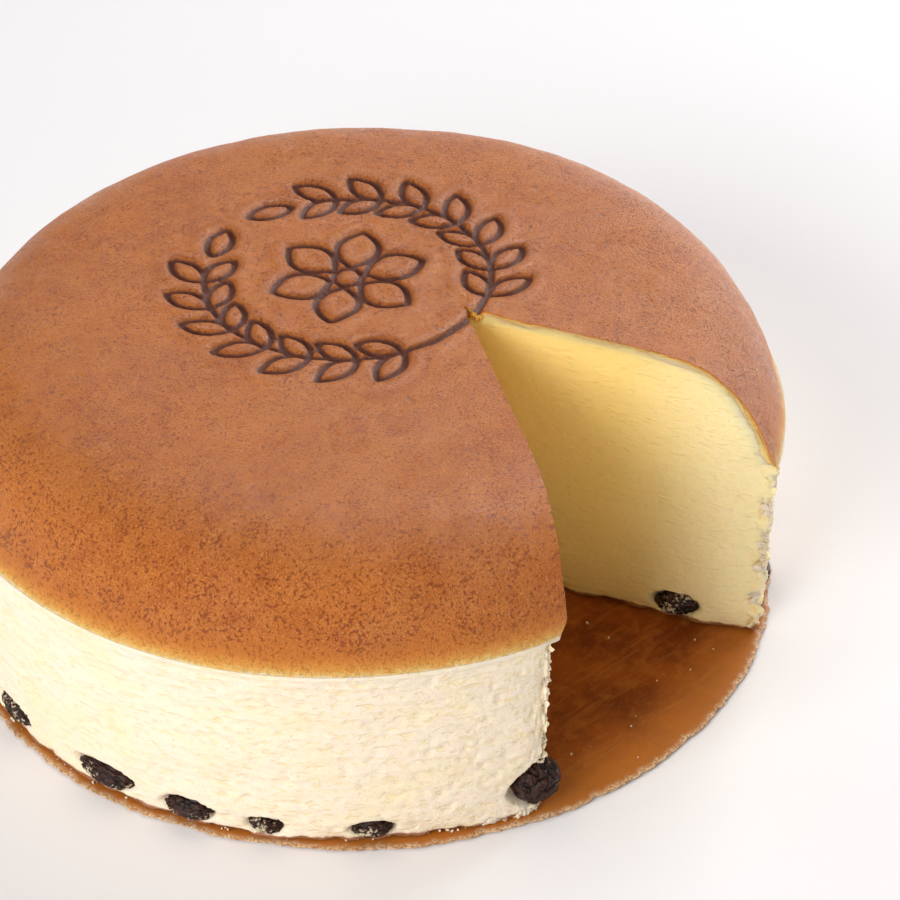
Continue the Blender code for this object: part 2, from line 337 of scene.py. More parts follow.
class Nodes:
    """Short calls for building a material's or a modifier's node tree."""

    def __init__(self, tree):
        self.tree = tree

    def add(self, kind, **settings):
        """Add a node and set its properties."""
        node = self.tree.nodes.new(kind)
        for name, value in settings.items():
            setattr(node, name, value)
        return node

    def feed(self, node, socket, value):
        """Link a socket's value into a node's input, or set it."""
        target = node.inputs[socket]
        if isinstance(value, bpy.types.NodeSocket):
            self.tree.links.new(value, target)
        else:
            target.default_value = value
        return node

    def math(self, operation, first, second=0.0, third=None, clamp=False):
        """A Math node's result."""
        node = self.add("ShaderNodeMath", operation=operation, use_clamp=clamp)
        self.feed(node, 0, first)
        self.feed(node, 1, second)
        if third is not None:
            self.feed(node, 2, third)
        return node.outputs[0]

    def span(self, value, low, high, to_low=0.0, to_high=1.0, smoothly=True):
        """Map a range of values onto another, clamped."""
        node = self.add("ShaderNodeMapRange", interpolation_type="SMOOTHSTEP" if smoothly else "LINEAR")
        for socket, item in enumerate((value, low, high, to_low, to_high)):
            self.feed(node, socket, item)
        return node.outputs[0]

    def fall(self, value, low, high):
        """1 up to low, falling to 0 at high."""
        return self.span(value, low, high, 1.0, 0.0)

    def swing(self, value, size):
        """Noise round 0.5 turned into a value round 0, times a size."""
        return self.math("MULTIPLY", self.math("SUBTRACT", value, 0.5), size)

    def tint(self, base, share, amount, color):
        """Lay a colour over another, where share is high and up to an amount."""
        return self.mix(self.math("MULTIPLY", share, amount), base, color)

    def mix(self, share, first, second, blend="MIX"):
        """Mix two colours."""
        node = self.add("ShaderNodeMix", data_type="RGBA", blend_type=blend)
        self.feed(node, 0, share)
        self.feed(node, 6, first)
        self.feed(node, 7, second)
        return node.outputs[2]

    def ramp(self, value, stops, mode="LINEAR"):
        """A colour ramp; stops are (position, linear colour)."""
        node = self.add("ShaderNodeValToRGB")
        ramp = node.color_ramp
        ramp.interpolation = mode
        while len(ramp.elements) < len(stops):
            ramp.elements.new(0.5)
        for element, (place, color) in zip(ramp.elements, stops):
            element.position = place
            element.color = (*color, 1.0)
        self.feed(node, 0, value)
        return node.outputs[0]

    def attribute(self, name, output="Fac"):
        """A named attribute of the piece."""
        return self.add("ShaderNodeAttribute", attribute_name=name).outputs[output]

    def coordinates(self, stretch=(1.0, 1.0, 1.0), turn=(0.0, 0.0, 0.0), vector=None):
        """Object coordinates in millimetres, stretched or turned."""
        if vector is None:
            vector = self.add("ShaderNodeTexCoord").outputs["Object"]
        node = self.add("ShaderNodeMapping")
        self.feed(node, "Vector", vector)
        node.inputs["Rotation"].default_value = turn
        node.inputs["Scale"].default_value = tuple(1000.0 / item for item in stretch)
        return node.outputs[0]

    def noise(self, vector, size, detail=3.0, rough=0.5, warp=0.0):
        """Noise with features of about size millimetres, as a value round 0.5."""
        node = self.add("ShaderNodeTexNoise")
        self.feed(node, "Vector", vector)
        node.inputs["Scale"].default_value = 1.0 / size
        node.inputs["Detail"].default_value = detail
        node.inputs["Roughness"].default_value = rough
        node.inputs["Distortion"].default_value = warp
        return node.outputs[0]

    def cells(self, vector, size, feature="F1", jitter=1.0):
        """A Voronoi node with cells of about size millimetres."""
        node = self.add("ShaderNodeTexVoronoi", feature=feature)
        self.feed(node, "Vector", vector)
        node.inputs["Scale"].default_value = 1.0 / size
        node.inputs["Randomness"].default_value = jitter
        return node

    def bump(self, height, distance, strength=1.0, normal=None):
        """A bump whose height of 1 is distance millimetres."""
        node = self.add("ShaderNodeBump")
        self.feed(node, "Height", height)
        node.inputs["Distance"].default_value = distance * MM
        node.inputs["Strength"].default_value = strength
        if normal is not None:
            self.feed(node, "Normal", normal)
        return node.outputs[0]


def new_material(name, roughness, specular=0.5):
    """A Principled material; returns it with its shader and a node helper."""
    material = bpy.data.materials.new(name)
    material.use_nodes = True
    shader = material.node_tree.nodes["Principled BSDF"]
    shader.inputs["Roughness"].default_value = roughness
    shader.inputs["Specular IOR Level"].default_value = specular
    return material, shader, Nodes(material.node_tree)


def crust_material(colors):
    """Browned top: pores, specks, fine creases, the rim's pale edge, the seared lines, and painted sheen and
    painted glints.
    """
    material, shader, n = new_material("browned_crust", 0.46, 0.43)
    place = n.coordinates()
    edge = n.attribute("rim_distance")
    depth = n.attribute("under_top")
    sear = n.attribute("sear")

    broad = n.noise(place, 22.0, 2.0)
    patch = n.noise(place, 3.6, 4.0, 0.62)
    grain = n.noise(place, 0.42, 3.0, 0.72)
    ragged = n.noise(place, 1.6, 4.0, 0.65)

    brown = n.mix(n.span(broad, 0.35, 0.65), tuple(colors.crust_dark), tuple(colors.crust))
    brown = n.tint(brown, n.span(patch, 0.34, 0.70), 0.8, tuple(colors.crust_light))
    # Broad paler, redder patches: painted sheen
    painted_sheen = n.span(n.noise(n.coordinates(turn=(0.2, 0.5, 1.9)), 24.0, 2.0), 0.46, 0.66)
    brown = n.tint(brown, painted_sheen, 0.15, CRUST_PAINTED_SHEEN)
    brown = n.tint(brown, n.span(grain, 0.50, 0.66), 0.70, GRAIN_LIGHT)
    brown = n.tint(brown, n.fall(grain, 0.32, 0.48), 0.65, GRAIN_DARK)

    shifted = n.math("ADD", edge, n.swing(ragged, 0.0028))
    rim = n.span(shifted, 0.0, 0.0150, smoothly=False)
    rim_color = n.ramp(rim, (
        (0.00, tuple(colors.crumb)[:3]),
        (0.045, (0.94, 0.80, 0.52)),
        (0.09, (0.88, 0.56, 0.16)),
        (0.17, (0.78, 0.33, 0.050)),
        (0.30, (0.66, 0.205, 0.020)),
        (0.60, tuple(colors.crust)[:3]),
    ))
    base = n.mix(n.span(shifted, 0.0035, 0.0095), rim_color, brown)

    in_brown = n.span(shifted, 0.0030, 0.0090)
    crowd = n.swing(n.noise(place, 7.0, 3.0, 0.6), 0.22)
    speck = n.math("ADD", n.noise(place, 0.72, 3.0, 0.62), crowd)
    pit = n.math("SUBTRACT", n.noise(n.coordinates(turn=(0.4, 0.9, 0.2)), 1.25, 2.0, 0.55, 0.5),
                 n.math("MULTIPLY", crowd, 0.6))
    pit_soft = n.math("MAXIMUM", n.fall(speck, 0.36, 0.43), n.fall(pit, 0.28, 0.32))
    base = n.tint(base, n.math("MULTIPLY", pit_soft, in_brown), 0.85, tuple(colors.pore))
    # Small bright flecks: painted glints
    painted_glint = n.span(n.noise(n.coordinates(turn=(1.3, 0.1, 0.7)), 0.5, 2.0, 0.5), 0.70, 0.76)
    base = n.tint(base, n.math("MULTIPLY", painted_glint, in_brown), 0.55, PAINTED_GLINT)

    spots = n.cells(n.coordinates(), 9.0)
    spot_warp = n.math("ADD", spots.outputs["Distance"], n.swing(ragged, 0.22))
    spot = n.fall(spot_warp, 0.045, 0.105)
    base = n.tint(base, n.math("MULTIPLY", spot, in_brown), 0.75, BROWN_SPOT)

    burnt = n.fall(n.math("ADD", sear, n.swing(ragged, 0.00035)), 0.00050, 0.00095)
    scorch = n.span(sear, 0.0008, 0.0032, 0.30, 0.0)
    base = n.mix(scorch, base, SCORCH)
    base = n.tint(base, burnt, 0.93, tuple(colors.sear))

    inner = n.ramp(n.span(n.math("ADD", depth, n.swing(ragged, 0.0006)),
                          0.0, 0.0009, smoothly=False), (
        (0.0, (0.56, 0.155, 0.012)),
        (0.5, (0.76, 0.29, 0.032)),
        (0.8, (0.88, 0.50, 0.10)),
        (1.0, (0.95, 0.72, 0.28)),
    ))
    base = n.mix(n.span(depth, 0.00004, 0.00012), base, inner)
    n.feed(shader, "Base Color", base)

    rough = n.span(n.noise(place, 13.0, 3.0, 0.55), 0.40, 0.66, 0.37, 0.25)
    n.feed(shader, "Roughness", n.math("MULTIPLY_ADD", burnt, 0.15, rough))

    radial = n.attribute("polar", "Vector")
    creases = n.noise(n.coordinates((2.6, 0.62, 1.0), vector=radial), 1.0, 3.0, 0.6, 0.4)
    crease_zone = n.math("MULTIPLY", n.span(n.noise(place, 16.0, 2.0), 0.42, 0.62, 0.15, 1.0),
                         n.fall(edge, 0.045, 0.062))
    fine = n.noise(place, 0.50, 4.0, 0.75)
    height = n.swing(creases, crease_zone)
    height = n.math("MULTIPLY_ADD", n.math("SUBTRACT", fine, 0.5), 0.95, height)
    height = n.math("MULTIPLY_ADD", pit_soft, -0.45, height)
    height = n.math("MULTIPLY_ADD", spot, -0.5, height)
    n.feed(shader, "Normal", n.bump(height, 0.50, 0.9))
    return material


def crumb_material(colors):
    """Pale crumb: white-cream skin at the side, yellower where cut, stained just under the crust, with
    painted shade in its creases, dimples, hollows and pits, near the tip, and partly in a browned line along
    the foot.
    """
    material, shader, n = new_material("cake_crumb", 0.78, 0.28)
    place = n.coordinates()
    cut = n.attribute("cut_face")
    below = n.attribute("under_crust")

    fine = n.noise(place, 0.45, 3.0, 0.62)
    knob = n.noise(n.coordinates((1.2, 1.2, 0.85)), 0.95, 2.0, 0.5)
    patch = n.noise(place, 2.4, 4.0, 0.6)
    broad = n.noise(place, 12.0, 3.0, 0.5)
    dimple = n.noise(n.coordinates((2.4, 2.4, 0.85)), 1.1, 2.0, 0.5)
    band = n.noise(n.coordinates((9.0, 9.0, 1.0)), 1.5, 2.0, 0.5)

    skin = n.tint(tuple(colors.crumb), n.span(broad, 0.45, 0.70), 0.7, tuple(colors.crumb_yellow))
    # The side's creases and dimples, low in the bump, get painted shade
    skin = n.tint(skin, n.fall(band, 0.32, 0.48), 0.40, CREASE_PAINTED_SHADE)
    skin = n.tint(skin, n.fall(dimple, 0.32, 0.46), 0.60, DIMPLE_PAINTED_SHADE)
    # Painted shade: the cut faces turn a deeper gold within 30 to 60 mm of the tip
    inner = n.fall(n.attribute("tip_distance"), 0.030, 0.060)
    inside = n.mix(inner, tuple(colors.crumb_cut), tuple(colors.crumb_cut_deep_and_shade))
    inside = n.tint(inside, n.span(patch, 0.55, 0.75), 0.35, tuple(colors.crumb_cut_deep_and_shade))
    # Hollows between the knobs of a cut face get painted shade
    inside = n.tint(inside, n.fall(knob, 0.34, 0.48), 0.30, KNOB_HOLLOW_SHADE)
    base = n.mix(cut, skin, inside)
    stain = n.math("ADD", below, n.swing(patch, 0.0016))
    stained = n.ramp(n.span(stain, -0.0002, 0.0032, smoothly=False), (
        (0.0, (0.80, 0.44, 0.10)),
        (0.3, (0.90, 0.66, 0.25)),
        (1.0, (0.93, 0.75, 0.36)),
    ))
    base = n.tint(base, n.fall(stain, 0.0002, 0.0034), cut, stained)

    holes = n.cells(place, 1.1)
    hole_size = n.span(n.noise(place, 2.6, 2.0), 0.50, 0.75, 0.0, 0.32)
    hole_edge = n.math("MULTIPLY_ADD", n.math("SUBTRACT", fine, 0.5), 0.5, holes.outputs["Distance"])
    hole = n.fall(n.math("SUBTRACT", hole_edge, hole_size), -0.12, 0.08)
    # Pits of the crumb get painted shade
    base = n.tint(base, hole, 0.22, tuple(colors.crumb_cut_deep_and_shade))
    # Browned line along the foot, partly painted shade where the cake meets the sheet
    split = n.feed(n.add("ShaderNodeSeparateXYZ"), 0, place)
    low = n.math("ADD", split.outputs["Z"], n.swing(patch, 1.4))
    base = n.mix(n.span(low, FOOT / MM + 0.5, FOOT / MM + 1.15, 0.9, 0.0), base, BROWNED_AND_SHADED_FOOT)
    n.feed(shader, "Base Color", base)

    shader.inputs["Subsurface Weight"].default_value = 0.40
    shader.inputs["Subsurface Radius"].default_value = (1.0, 0.66, 0.30)
    shader.inputs["Subsurface Scale"].default_value = 0.0022

    height = n.swing(fine, 0.28)
    height = n.math("MULTIPLY_ADD", n.math("SUBTRACT", knob, 0.5), 0.55, height)
    height = n.math("MULTIPLY_ADD", n.span(dimple, 0.30, 0.48), 0.50, height)
    height = n.math("MULTIPLY_ADD", n.math("SUBTRACT", band, 0.5), 0.8, height)
    height = n.math("MULTIPLY_ADD", hole, -0.4, height)
    rough_skin = n.span(cut, 0.0, 1.0, 0.66, 0.60, smoothly=False)
    n.feed(shader, "Normal", n.bump(n.math("MULTIPLY", height, rough_skin), 0.55, 0.85))
    return material


def sheet_material(colors):
    """Browned base sheet: greasy mottled brown, paler and dusty at its edge."""
    material, shader, n = new_material("browned_sheet", 0.55, 0.25)
    place = n.coordinates()
    out = n.attribute("edge_distance")
    broad = n.noise(place, 14.0, 4.0, 0.6)
    patch = n.noise(place, 3.0, 4.0, 0.62)
    fine = n.noise(place, 0.6, 4.0, 0.7)
    streak = n.noise(n.coordinates((5.0, 1.0, 1.0), turn=(0.0, 0.0, 0.6)), 2.2, 3.0, 0.6, 0.8)
    brown = n.mix(n.span(broad, 0.35, 0.65), tuple(colors.sheet_dark), tuple(colors.sheet))
    brown = n.tint(brown, n.span(streak, 0.50, 0.68), 0.35, tuple(colors.sheet_light))
    brown = n.tint(brown, n.span(fine, 0.58, 0.72), 0.30, SHEET_FLECK)
    brown = n.tint(brown, n.span(patch, 0.46, 0.74), 0.5, tuple(colors.sheet_light))
    stain = n.math("ADD", out, n.swing(patch, 0.010))
    brown = n.mix(n.span(stain, 0.002, 0.016, 0.75, 0.0), brown, tuple(colors.sheet_light))
    dust = n.math("ADD", out, n.swing(fine, 0.0040))
    dust = n.math("ADD", dust, n.swing(patch, 0.0030))
    tan = n.mix(n.span(fine, 0.42, 0.60), FRAY_DARK, FRAY_LIGHT)
    base = n.mix(n.span(dust, 0.0002, 0.0014, 0.92, 0.0), brown, tan)
    n.feed(shader, "Base Color", base)
    n.feed(shader, "Roughness", n.span(patch, 0.3, 0.7, 0.42, 0.66))
    height = n.math("MULTIPLY_ADD", fine, 0.6, n.math("MULTIPLY", patch, 1.0))
    n.feed(shader, "Normal", n.bump(height, 0.16, 0.6))
    return material


def raisin_material(colors):
    """Dark wrinkled skin with painted shade in its deep folds, and smears of pale crumb."""
    material, shader, n = new_material("raisin_skin", 0.42, 0.26)
    place = n.coordinates()
    fold = n.attribute("fold")
    patch = n.noise(place, 1.6, 4.0, 0.62)
    fine = n.noise(place, 0.35, 4.0, 0.7)
    # Deep folds are darker: painted shade
    skin = n.mix(n.span(fold, 0.25, 0.85), tuple(colors.raisin_fold_shade), tuple(colors.raisin))
    skin = n.tint(skin, n.span(patch, 0.52, 0.70), 0.45, RAISIN_RED)
    smear = n.attribute("smear")
    clot = n.noise(place, 0.85, 3.0, 0.6)
    speck = n.span(n.math("MULTIPLY_ADD", smear, 0.26, clot), 0.63, 0.74)
    base = n.tint(skin, speck, 0.75, CLINGING_CRUMB)
    n.feed(shader, "Base Color", base)
    n.feed(shader, "Roughness", n.math("MAXIMUM", n.span(patch, 0.35, 0.65, 0.20, 0.50),
                                       n.math("MULTIPLY", speck, 0.8)))
    height = n.math("MULTIPLY_ADD", speck, 0.9, n.math("MULTIPLY", fine, 0.7))
    n.feed(shader, "Normal", n.bump(height, 0.14, 0.8))
    return material


def loose_crumb_material(colors, name, pale):
    """Torn crumbs: pale cake crumb, or bits of browned crust."""
    material, shader, n = new_material(name, 0.8, 0.25)
    place = n.coordinates()
    patch = n.noise(place, 1.1, 3.0, 0.6)
    fine = n.noise(place, 0.3, 3.0, 0.7)
    pair = (colors.crumb, colors.crumb_yellow) if pale else (FLAKE_DARK, FLAKE_LIGHT)
    base = n.mix(n.span(patch, 0.35, 0.68), (*pair[0][:3], 1.0), (*pair[1][:3], 1.0))
    n.feed(shader, "Base Color", base)
    shader.inputs["Subsurface Weight"].default_value = 0.3 if pale else 0.1
    shader.inputs["Subsurface Radius"].default_value = (1.0, 0.72, 0.36)
    shader.inputs["Subsurface Scale"].default_value = 0.0009
    n.feed(shader, "Normal", n.bump(fine, 0.18, 0.8))
    return material


def floor_material(tone):
    """A plain pale table with a faint unevenness."""
    material, shader, n = new_material("pale_table", 0.55, 0.3)
    faint = n.noise(n.coordinates(), 120.0, 2.0)
    darker = tuple(item * 0.985 for item in tone[:3]) + (1.0,)
    n.feed(shader, "Base Color", n.mix(n.span(faint, 0.3, 0.7), tuple(tone), darker))
    return material


# ---------------------------------------------------------------- settings

def length(name, text, value, low=0.0):
    """A length setting in metres."""
    return FloatProperty(name=name, description=text, default=value, min=low, unit="LENGTH", precision=5)


def color(name, text, value):
    """A colour setting."""
    return FloatVectorProperty(name=name, description=text, default=(*value, 1.0), size=4, min=0.0, max=1.0,
                               subtype="COLOR")


class CheesecakeForm(bpy.types.PropertyGroup):
    """Sizes of the parts of the cake that the looks add."""

    crust_columns: IntProperty(name="Crust columns", description="Columns of the crust's mesh", default=540,
                               min=60)
    crumb_rows: IntProperty(name="Crumb rows", description="Rows of the crumb's mesh", default=80, min=8)
    mark_radius: length("Mark radius", "Radius of the seared wreath", 0.0300, 0.005)
    mark_line: length("Mark line", "Width of the seared lines", 0.00150)
    mark_depth: length("Mark depth", "Depth of the seared lines", 0.00085)
    mark_puff: length("Mark puff", "Height of the swelling beside the seared lines", 0.00035)
    ridge: length("Side ridges", "Depth of the ridges in the crumb's side", 0.00075)
    crumb_size: length("Crumb size", "Size of a loose crumb", 0.00055)


class CheesecakeColors(bpy.types.PropertyGroup):
    """Base colours of the cake's finishes."""

    crust: color("Crust", "Browned top", (0.56, 0.146, 0.007))
    crust_light: color("Light crust", "Lighter patches of the top", (0.62, 0.186, 0.018))
    crust_dark: color("Dark crust", "Darker patches of the top", (0.47, 0.106, 0.004))
    pore: color("Pores", "Pores in the top", (0.31, 0.055, 0.005))
    sear: color("Seared lines", "Bottom of the seared lines", (0.115, 0.028, 0.016))
    crumb: color("Crumb", "Side of the cake", (0.985, 0.815, 0.630))
    crumb_yellow: color("Yellow crumb", "Yellow flecks in the side", (0.98, 0.81, 0.53))
    crumb_cut: color("Cut crumb", "Cut faces", (0.98, 0.81, 0.45))
    # Deeper yellow of the cut crumb: its own tone in patches, and painted shade near the tip and in pits
    crumb_cut_deep_and_shade: color("Deep crumb", "Yellower parts of the cut faces", (0.98, 0.70, 0.24))
    sheet: color("Base sheet", "Browned base sheet", (0.34, 0.078, 0.004))
    sheet_dark: color("Dark base sheet", "Darker parts of the base sheet", (0.19, 0.036, 0.002))
    sheet_light: color("Light base sheet", "Lighter parts of the base sheet", (0.50, 0.165, 0.022))
    raisin: color("Raisin", "Raised folds of the raisins", (0.034, 0.010, 0.005))
    # Painted shade in the raisins' deep folds
    raisin_fold_shade: color("Dark raisin", "Deep folds of the raisins", (0.009, 0.004, 0.003))


class CheesecakeStage(bpy.types.PropertyGroup):
    """Camera, lights and table."""

    azimuth: FloatProperty(name="Azimuth", description="Camera's direction round the cake",
                           default=math.radians(-44.4), subtype="ANGLE")
    elevation: FloatProperty(name="Elevation", description="Camera's angle above the table",
                             default=math.radians(36.78), subtype="ANGLE")
    roll: FloatProperty(name="Roll", description="Camera's turn about its own view",
                        default=math.radians(-1.26), subtype="ANGLE")
    distance: length("Distance", "Camera's distance from its aim", 0.800, 0.05)
    lens: FloatProperty(name="Lens", description="Focal length in millimetres", default=150.3, min=10.0)
    aim_side: length("Aim to the side", "Aim's distance from the axis, across the view", 0.0192, -1.0)
    aim_depth: length("Aim forwards", "Aim's distance from the axis, towards the back", 0.0036, -1.0)
    aim_height: length("Aim height", "Aim's height above the table", 0.030)
    table: color("Table", "Table top", (0.92, 0.91, 0.925))
    room_light: FloatProperty(name="Room light", description="Strength of the even light all round",
                              default=0.35, min=0.0)
    key_light: FloatProperty(name="Key light", description="Power of the large light at the left, in watts",
                             default=10.8, min=0.0)
    window_light: FloatProperty(name="Window light", description="Power of the low light behind, in watts",
                                default=5.5, min=0.0)
    back_light: FloatProperty(name="Back light", description="Power of the large light behind, in watts",
                              default=15.0, min=0.0)


# ---------------------------------------------------------------- crust

def column_angles(count, start, end, dense=2.4, reach=0.10):
    """Angles round the rim, closer together near the two cuts."""
    steps = np.linspace(0.0, 1.0, 4000)
    span = end - start
    weight = 1.0 + dense * (np.exp(-steps * span / reach) + np.exp(-(1.0 - steps) * span / reach))
    total = np.concatenate([[0.0], np.cumsum((weight[1:] + weight[:-1]) / 2.0)])
    return start + span * np.interp(np.linspace(0.0, total[-1], count), total, steps)


def crust_relief(points):
    """Gentle unevenness of the top, never upwards, in metres."""
    return sum(depth * (noise_at(points, size, seed) - 1.0) for depth, size, seed in TOP_RELIEF)


def crust_shell(columns):
    """The browned top as a thin closed shell: point table, faces and attributes."""
    bead_r = RIM_R - RIM_BEAD
    rim_r = bead_r + RIM_BEAD * math.cos(math.radians(BEAD_START))
    start, _ = rim_angle("right", rim_r)
    end, _ = rim_angle("left", rim_r)
    angles = column_angles(columns, float(start), float(end))
    fine_rows, shoulder_rows, split = 112, 42, 0.64
    arc = np.linspace(dome_arc(split * rim_r), dome_arc(rim_r), shoulder_rows)
    sample = np.linspace(split * rim_r, rim_r, 600)
    shares = np.concatenate([np.linspace(0.0, split, fine_rows)[1:],
                             np.interp(arc, dome_arc(sample), sample)[1:] / rim_r])
    rim = np.stack([rim_r * np.cos(angles), rim_r * np.sin(angles)], -1)
    flat = CUT_TIP + (rim - CUT_TIP)[None] * shares[:, None, None]
    radius = np.hypot(flat[..., 0], flat[..., 1])
    top = np.dstack([flat, dome(radius)])
    bead_arc = RIM_BEAD * math.radians(BEAD_START - BEAD_END)
    rim_gap = dome_arc(rim_r) - dome_arc(radius) + bead_arc

    rim_line = np.column_stack([rim, np.zeros(columns)])
    wobble = noise_at(rim_line, 0.004, 21.0) + 0.6 * noise_at(rim_line, 0.0013, 33.0)
    low = np.radians(BEAD_END + 8.0 * wobble)
    bead_rows = 9
    bead = []
    inner_bead = []
    bead_gap = []
    for row in range(1, bead_rows + 1):
        turn = math.radians(BEAD_START) + (low - math.radians(BEAD_START)) * row / bead_rows
        thin = CRUST_T * (1.0 - 0.92 * (row / bead_rows)) * 0.75
        for ring, size in ((bead, RIM_BEAD), (inner_bead, RIM_BEAD - thin)):
            reach = bead_r + size * np.cos(turn)
            ring.append(np.stack([reach * np.cos(angles), reach * np.sin(angles),
                                   RIM_Z + size * np.sin(turn)], -1))
        bead_gap.append(RIM_BEAD * (turn - low))
    outer = np.concatenate([top, np.stack(bead)])
    under = top.copy()
    edge_gap = np.full(radius.shape, 1.0)
    for side in ("left", "right"):
        edge_gap = np.minimum(edge_gap, cut_distance(flat, side))
    thick = CRUST_T + BODY_T * smooth((edge_gap - 0.0004) / 0.003) * smooth((rim_r - radius) / 0.012)
    thick *= 1.0 - 0.25 * smooth((radius - 0.080) / 0.0098)
    heading = (rim - CUT_TIP) / np.linalg.norm(rim - CUT_TIP, axis=-1, keepdims=True)
    fall = dome_slope(radius) * (flat * heading[None]).sum(-1) / np.maximum(radius, 1e-6)
    stretch = np.sqrt(1.0 + fall * fall)
    under[..., :2] -= heading[None] * (thick * fall / stretch)[..., None]
    under[..., 2] -= thick / stretch
    inner = np.concatenate([under, np.stack(inner_bead)])
    rim_gap = np.concatenate([rim_gap, np.stack(bead_gap)])

    relief = crust_relief(outer)
    outward = smooth((np.hypot(outer[..., 0], outer[..., 1]) - 0.080) / 0.0094)
    outer[..., 2] += relief * (1.0 - 0.5 * outward)
    grow = 1.0 + relief * outward / RIM_R
    outer[..., 0] *= grow
    outer[..., 1] *= grow
    outer, inner = uneven(outer), uneven(inner)
    for face in (outer, inner):
        face[:] = fall_back(face, crust_tear(face[..., 2]))
    for side in ("left", "right"):
        _, across = cut_frame(side)
        near = np.exp(-cut_distance(outer[..., :2], side) / RAGGED_CUT)
        ragged = near * (0.00022 * noise_at(outer, 0.0032, 41.0) + 0.00020 * noise_at(outer, 0.0011, 47.0))
        for face in (outer, inner):
            face[..., 0] += across[0] * ragged
            face[..., 1] += across[1] * ragged
    return outer, inner, rim_gap


def crust_mesh(name, columns):
    """Join the shell's top, underside and edges into one closed mesh."""
    outer, inner, rim_gap = crust_shell(columns)
    rows = outer.shape[0]
    tip_top = np.array([[CUT_TIP[0], CUT_TIP[1], outer[0, :, 2].mean()]])
    tip_under = tip_top - np.array([[0.0, 0.0, CRUST_T]])
    kept = sorted({*UNDER_ROWS, rows - 10, rows - 5, rows - 1})
    points = [outer.reshape(-1, 3), tip_top, tip_under]
    top_index = np.arange(rows * columns).reshape(rows, columns)
    tip = rows * columns
    first_under = tip + 2
    inner_index = np.full((rows, columns), -1)
    needed = np.zeros((rows, columns), bool)
    needed[kept] = True
    needed[:, 0] = True
    needed[:, -1] = True
    inner_index[needed] = first_under + np.arange(needed.sum())
    points.append(inner[needed])

    faces = grid_quads(top_index[:, ::-1])
    faces += [[tip, int(top_index[0, j]), int(top_index[0, j + 1])] for j in range(columns - 1)]
    for above, below in zip(kept[:-1], kept[1:]):
        faces += grid_quads(inner_index[[above, below]][:, 1:-1])
        for edge, beside in ((0, 1), (columns - 1, columns - 2)):
            ladder = [int(inner_index[i, edge]) for i in range(above, below + 1)]
            ring = ladder + [int(inner_index[below, beside]), int(inner_index[above, beside])]
            faces.append(ring if edge == 0 else ring[::-1])
    faces += [[tip + 1, int(inner_index[0, j + 1]), int(inner_index[0, j])] for j in range(columns - 1)]
    for edge in (0, columns - 1):
        strip_top = [tip] + [int(i) for i in top_index[:, edge]]
        strip_low = [tip + 1] + [int(i) for i in inner_index[:, edge]]
        for k in range(rows):
            quad = [strip_top[k], strip_top[k + 1], strip_low[k + 1], strip_low[k]]
            faces.append(quad[::-1] if edge == 0 else quad)
    for j in range(columns - 1):
        faces.append([int(top_index[-1, j]), int(inner_index[-1, j]), int(inner_index[-1, j + 1]),
                      int(top_index[-1, j + 1])][::-1])

    gap = np.concatenate([rim_gap.ravel(), [0.07, 0.07], rim_gap[needed]])
    inner_depth = np.full((rows, columns), CRUST_T)
    inner_depth[-10:] = 0.0
    depth = np.concatenate([np.zeros(tip + 1), [CRUST_T], inner_depth[needed]])
    every = np.concatenate(points)
    obj = add_piece(name, every, faces, {"rim_distance": gap, "under_top": depth})
    add_polar(obj, every)
    align_faces(obj)
    return obj


def add_polar(obj, points):
    """Store the flat space of the side and top as a vector attribute."""
    layer = obj.data.attributes.new("polar", "FLOAT_VECTOR", "POINT")
    layer.data.foreach_set("vector", polar(points).astype(np.float32).ravel())


def leaf_outline(base, heading, size, width):
    """A pointed grain as a closed line of points."""
    points = []
    for step in range(25):
        turn = math.pi * 2.0 * step / 24
        x = (1.0 - math.cos(turn)) / 2.0
        y = math.sin(turn) * math.sin(math.pi * x) ** 0.35 * 0.5
        reach, across = x * size, y * width
        points.append((base[0] + reach * math.cos(heading) - across * math.sin(heading),
                       base[1] + reach * math.sin(heading) + across * math.cos(heading)))
    return points


def mark_lines(radius):
    """Lines of the seared mark: two ears of wheat round a six-petalled flower, about its own middle."""
    lines = []
    for hand in (-1.0, 1.0):
        def on_ring(degrees, size):
            turn = math.radians(-90.0 + hand * degrees)
            return size * math.cos(turn), size * math.sin(turn), turn
        stem = [on_ring(-14.0 + 10.0 * k, radius * (1.0 + 0.012 * max(0.0, 1.0 - k)))[:2] for k in range(17)]
        lines.append(stem)
        for k in range(7):
            x, y, turn = on_ring(26.0 + 18.5 * k, radius)
            forward = turn + hand * math.pi / 2.0
            for lean, size, width in ((0.70, 0.36, 0.17), (-0.70, 0.33, 0.16)):
                lines.append(leaf_outline((x, y), forward - hand * lean, radius * size, radius * width))
        x, y, turn = on_ring(26.0 + 18.5 * 7, radius)
        lines.append(leaf_outline((x, y), turn + hand * math.pi / 2.0, radius * 0.34, radius * 0.17))
    for petal in range(6):
        turn = math.radians(60.0 * petal + 30.0)
        base = (radius * 0.13 * math.cos(turn), radius * 0.13 * math.sin(turn))
        lines.append(leaf_outline(base, turn, radius * 0.42, radius * 0.30))
    ring = [(radius * 0.10 * math.cos(math.tau * k / 16), radius * 0.10 * math.sin(math.tau * k / 16))
            for k in range(17)]
    lines.append(ring)
    return lines


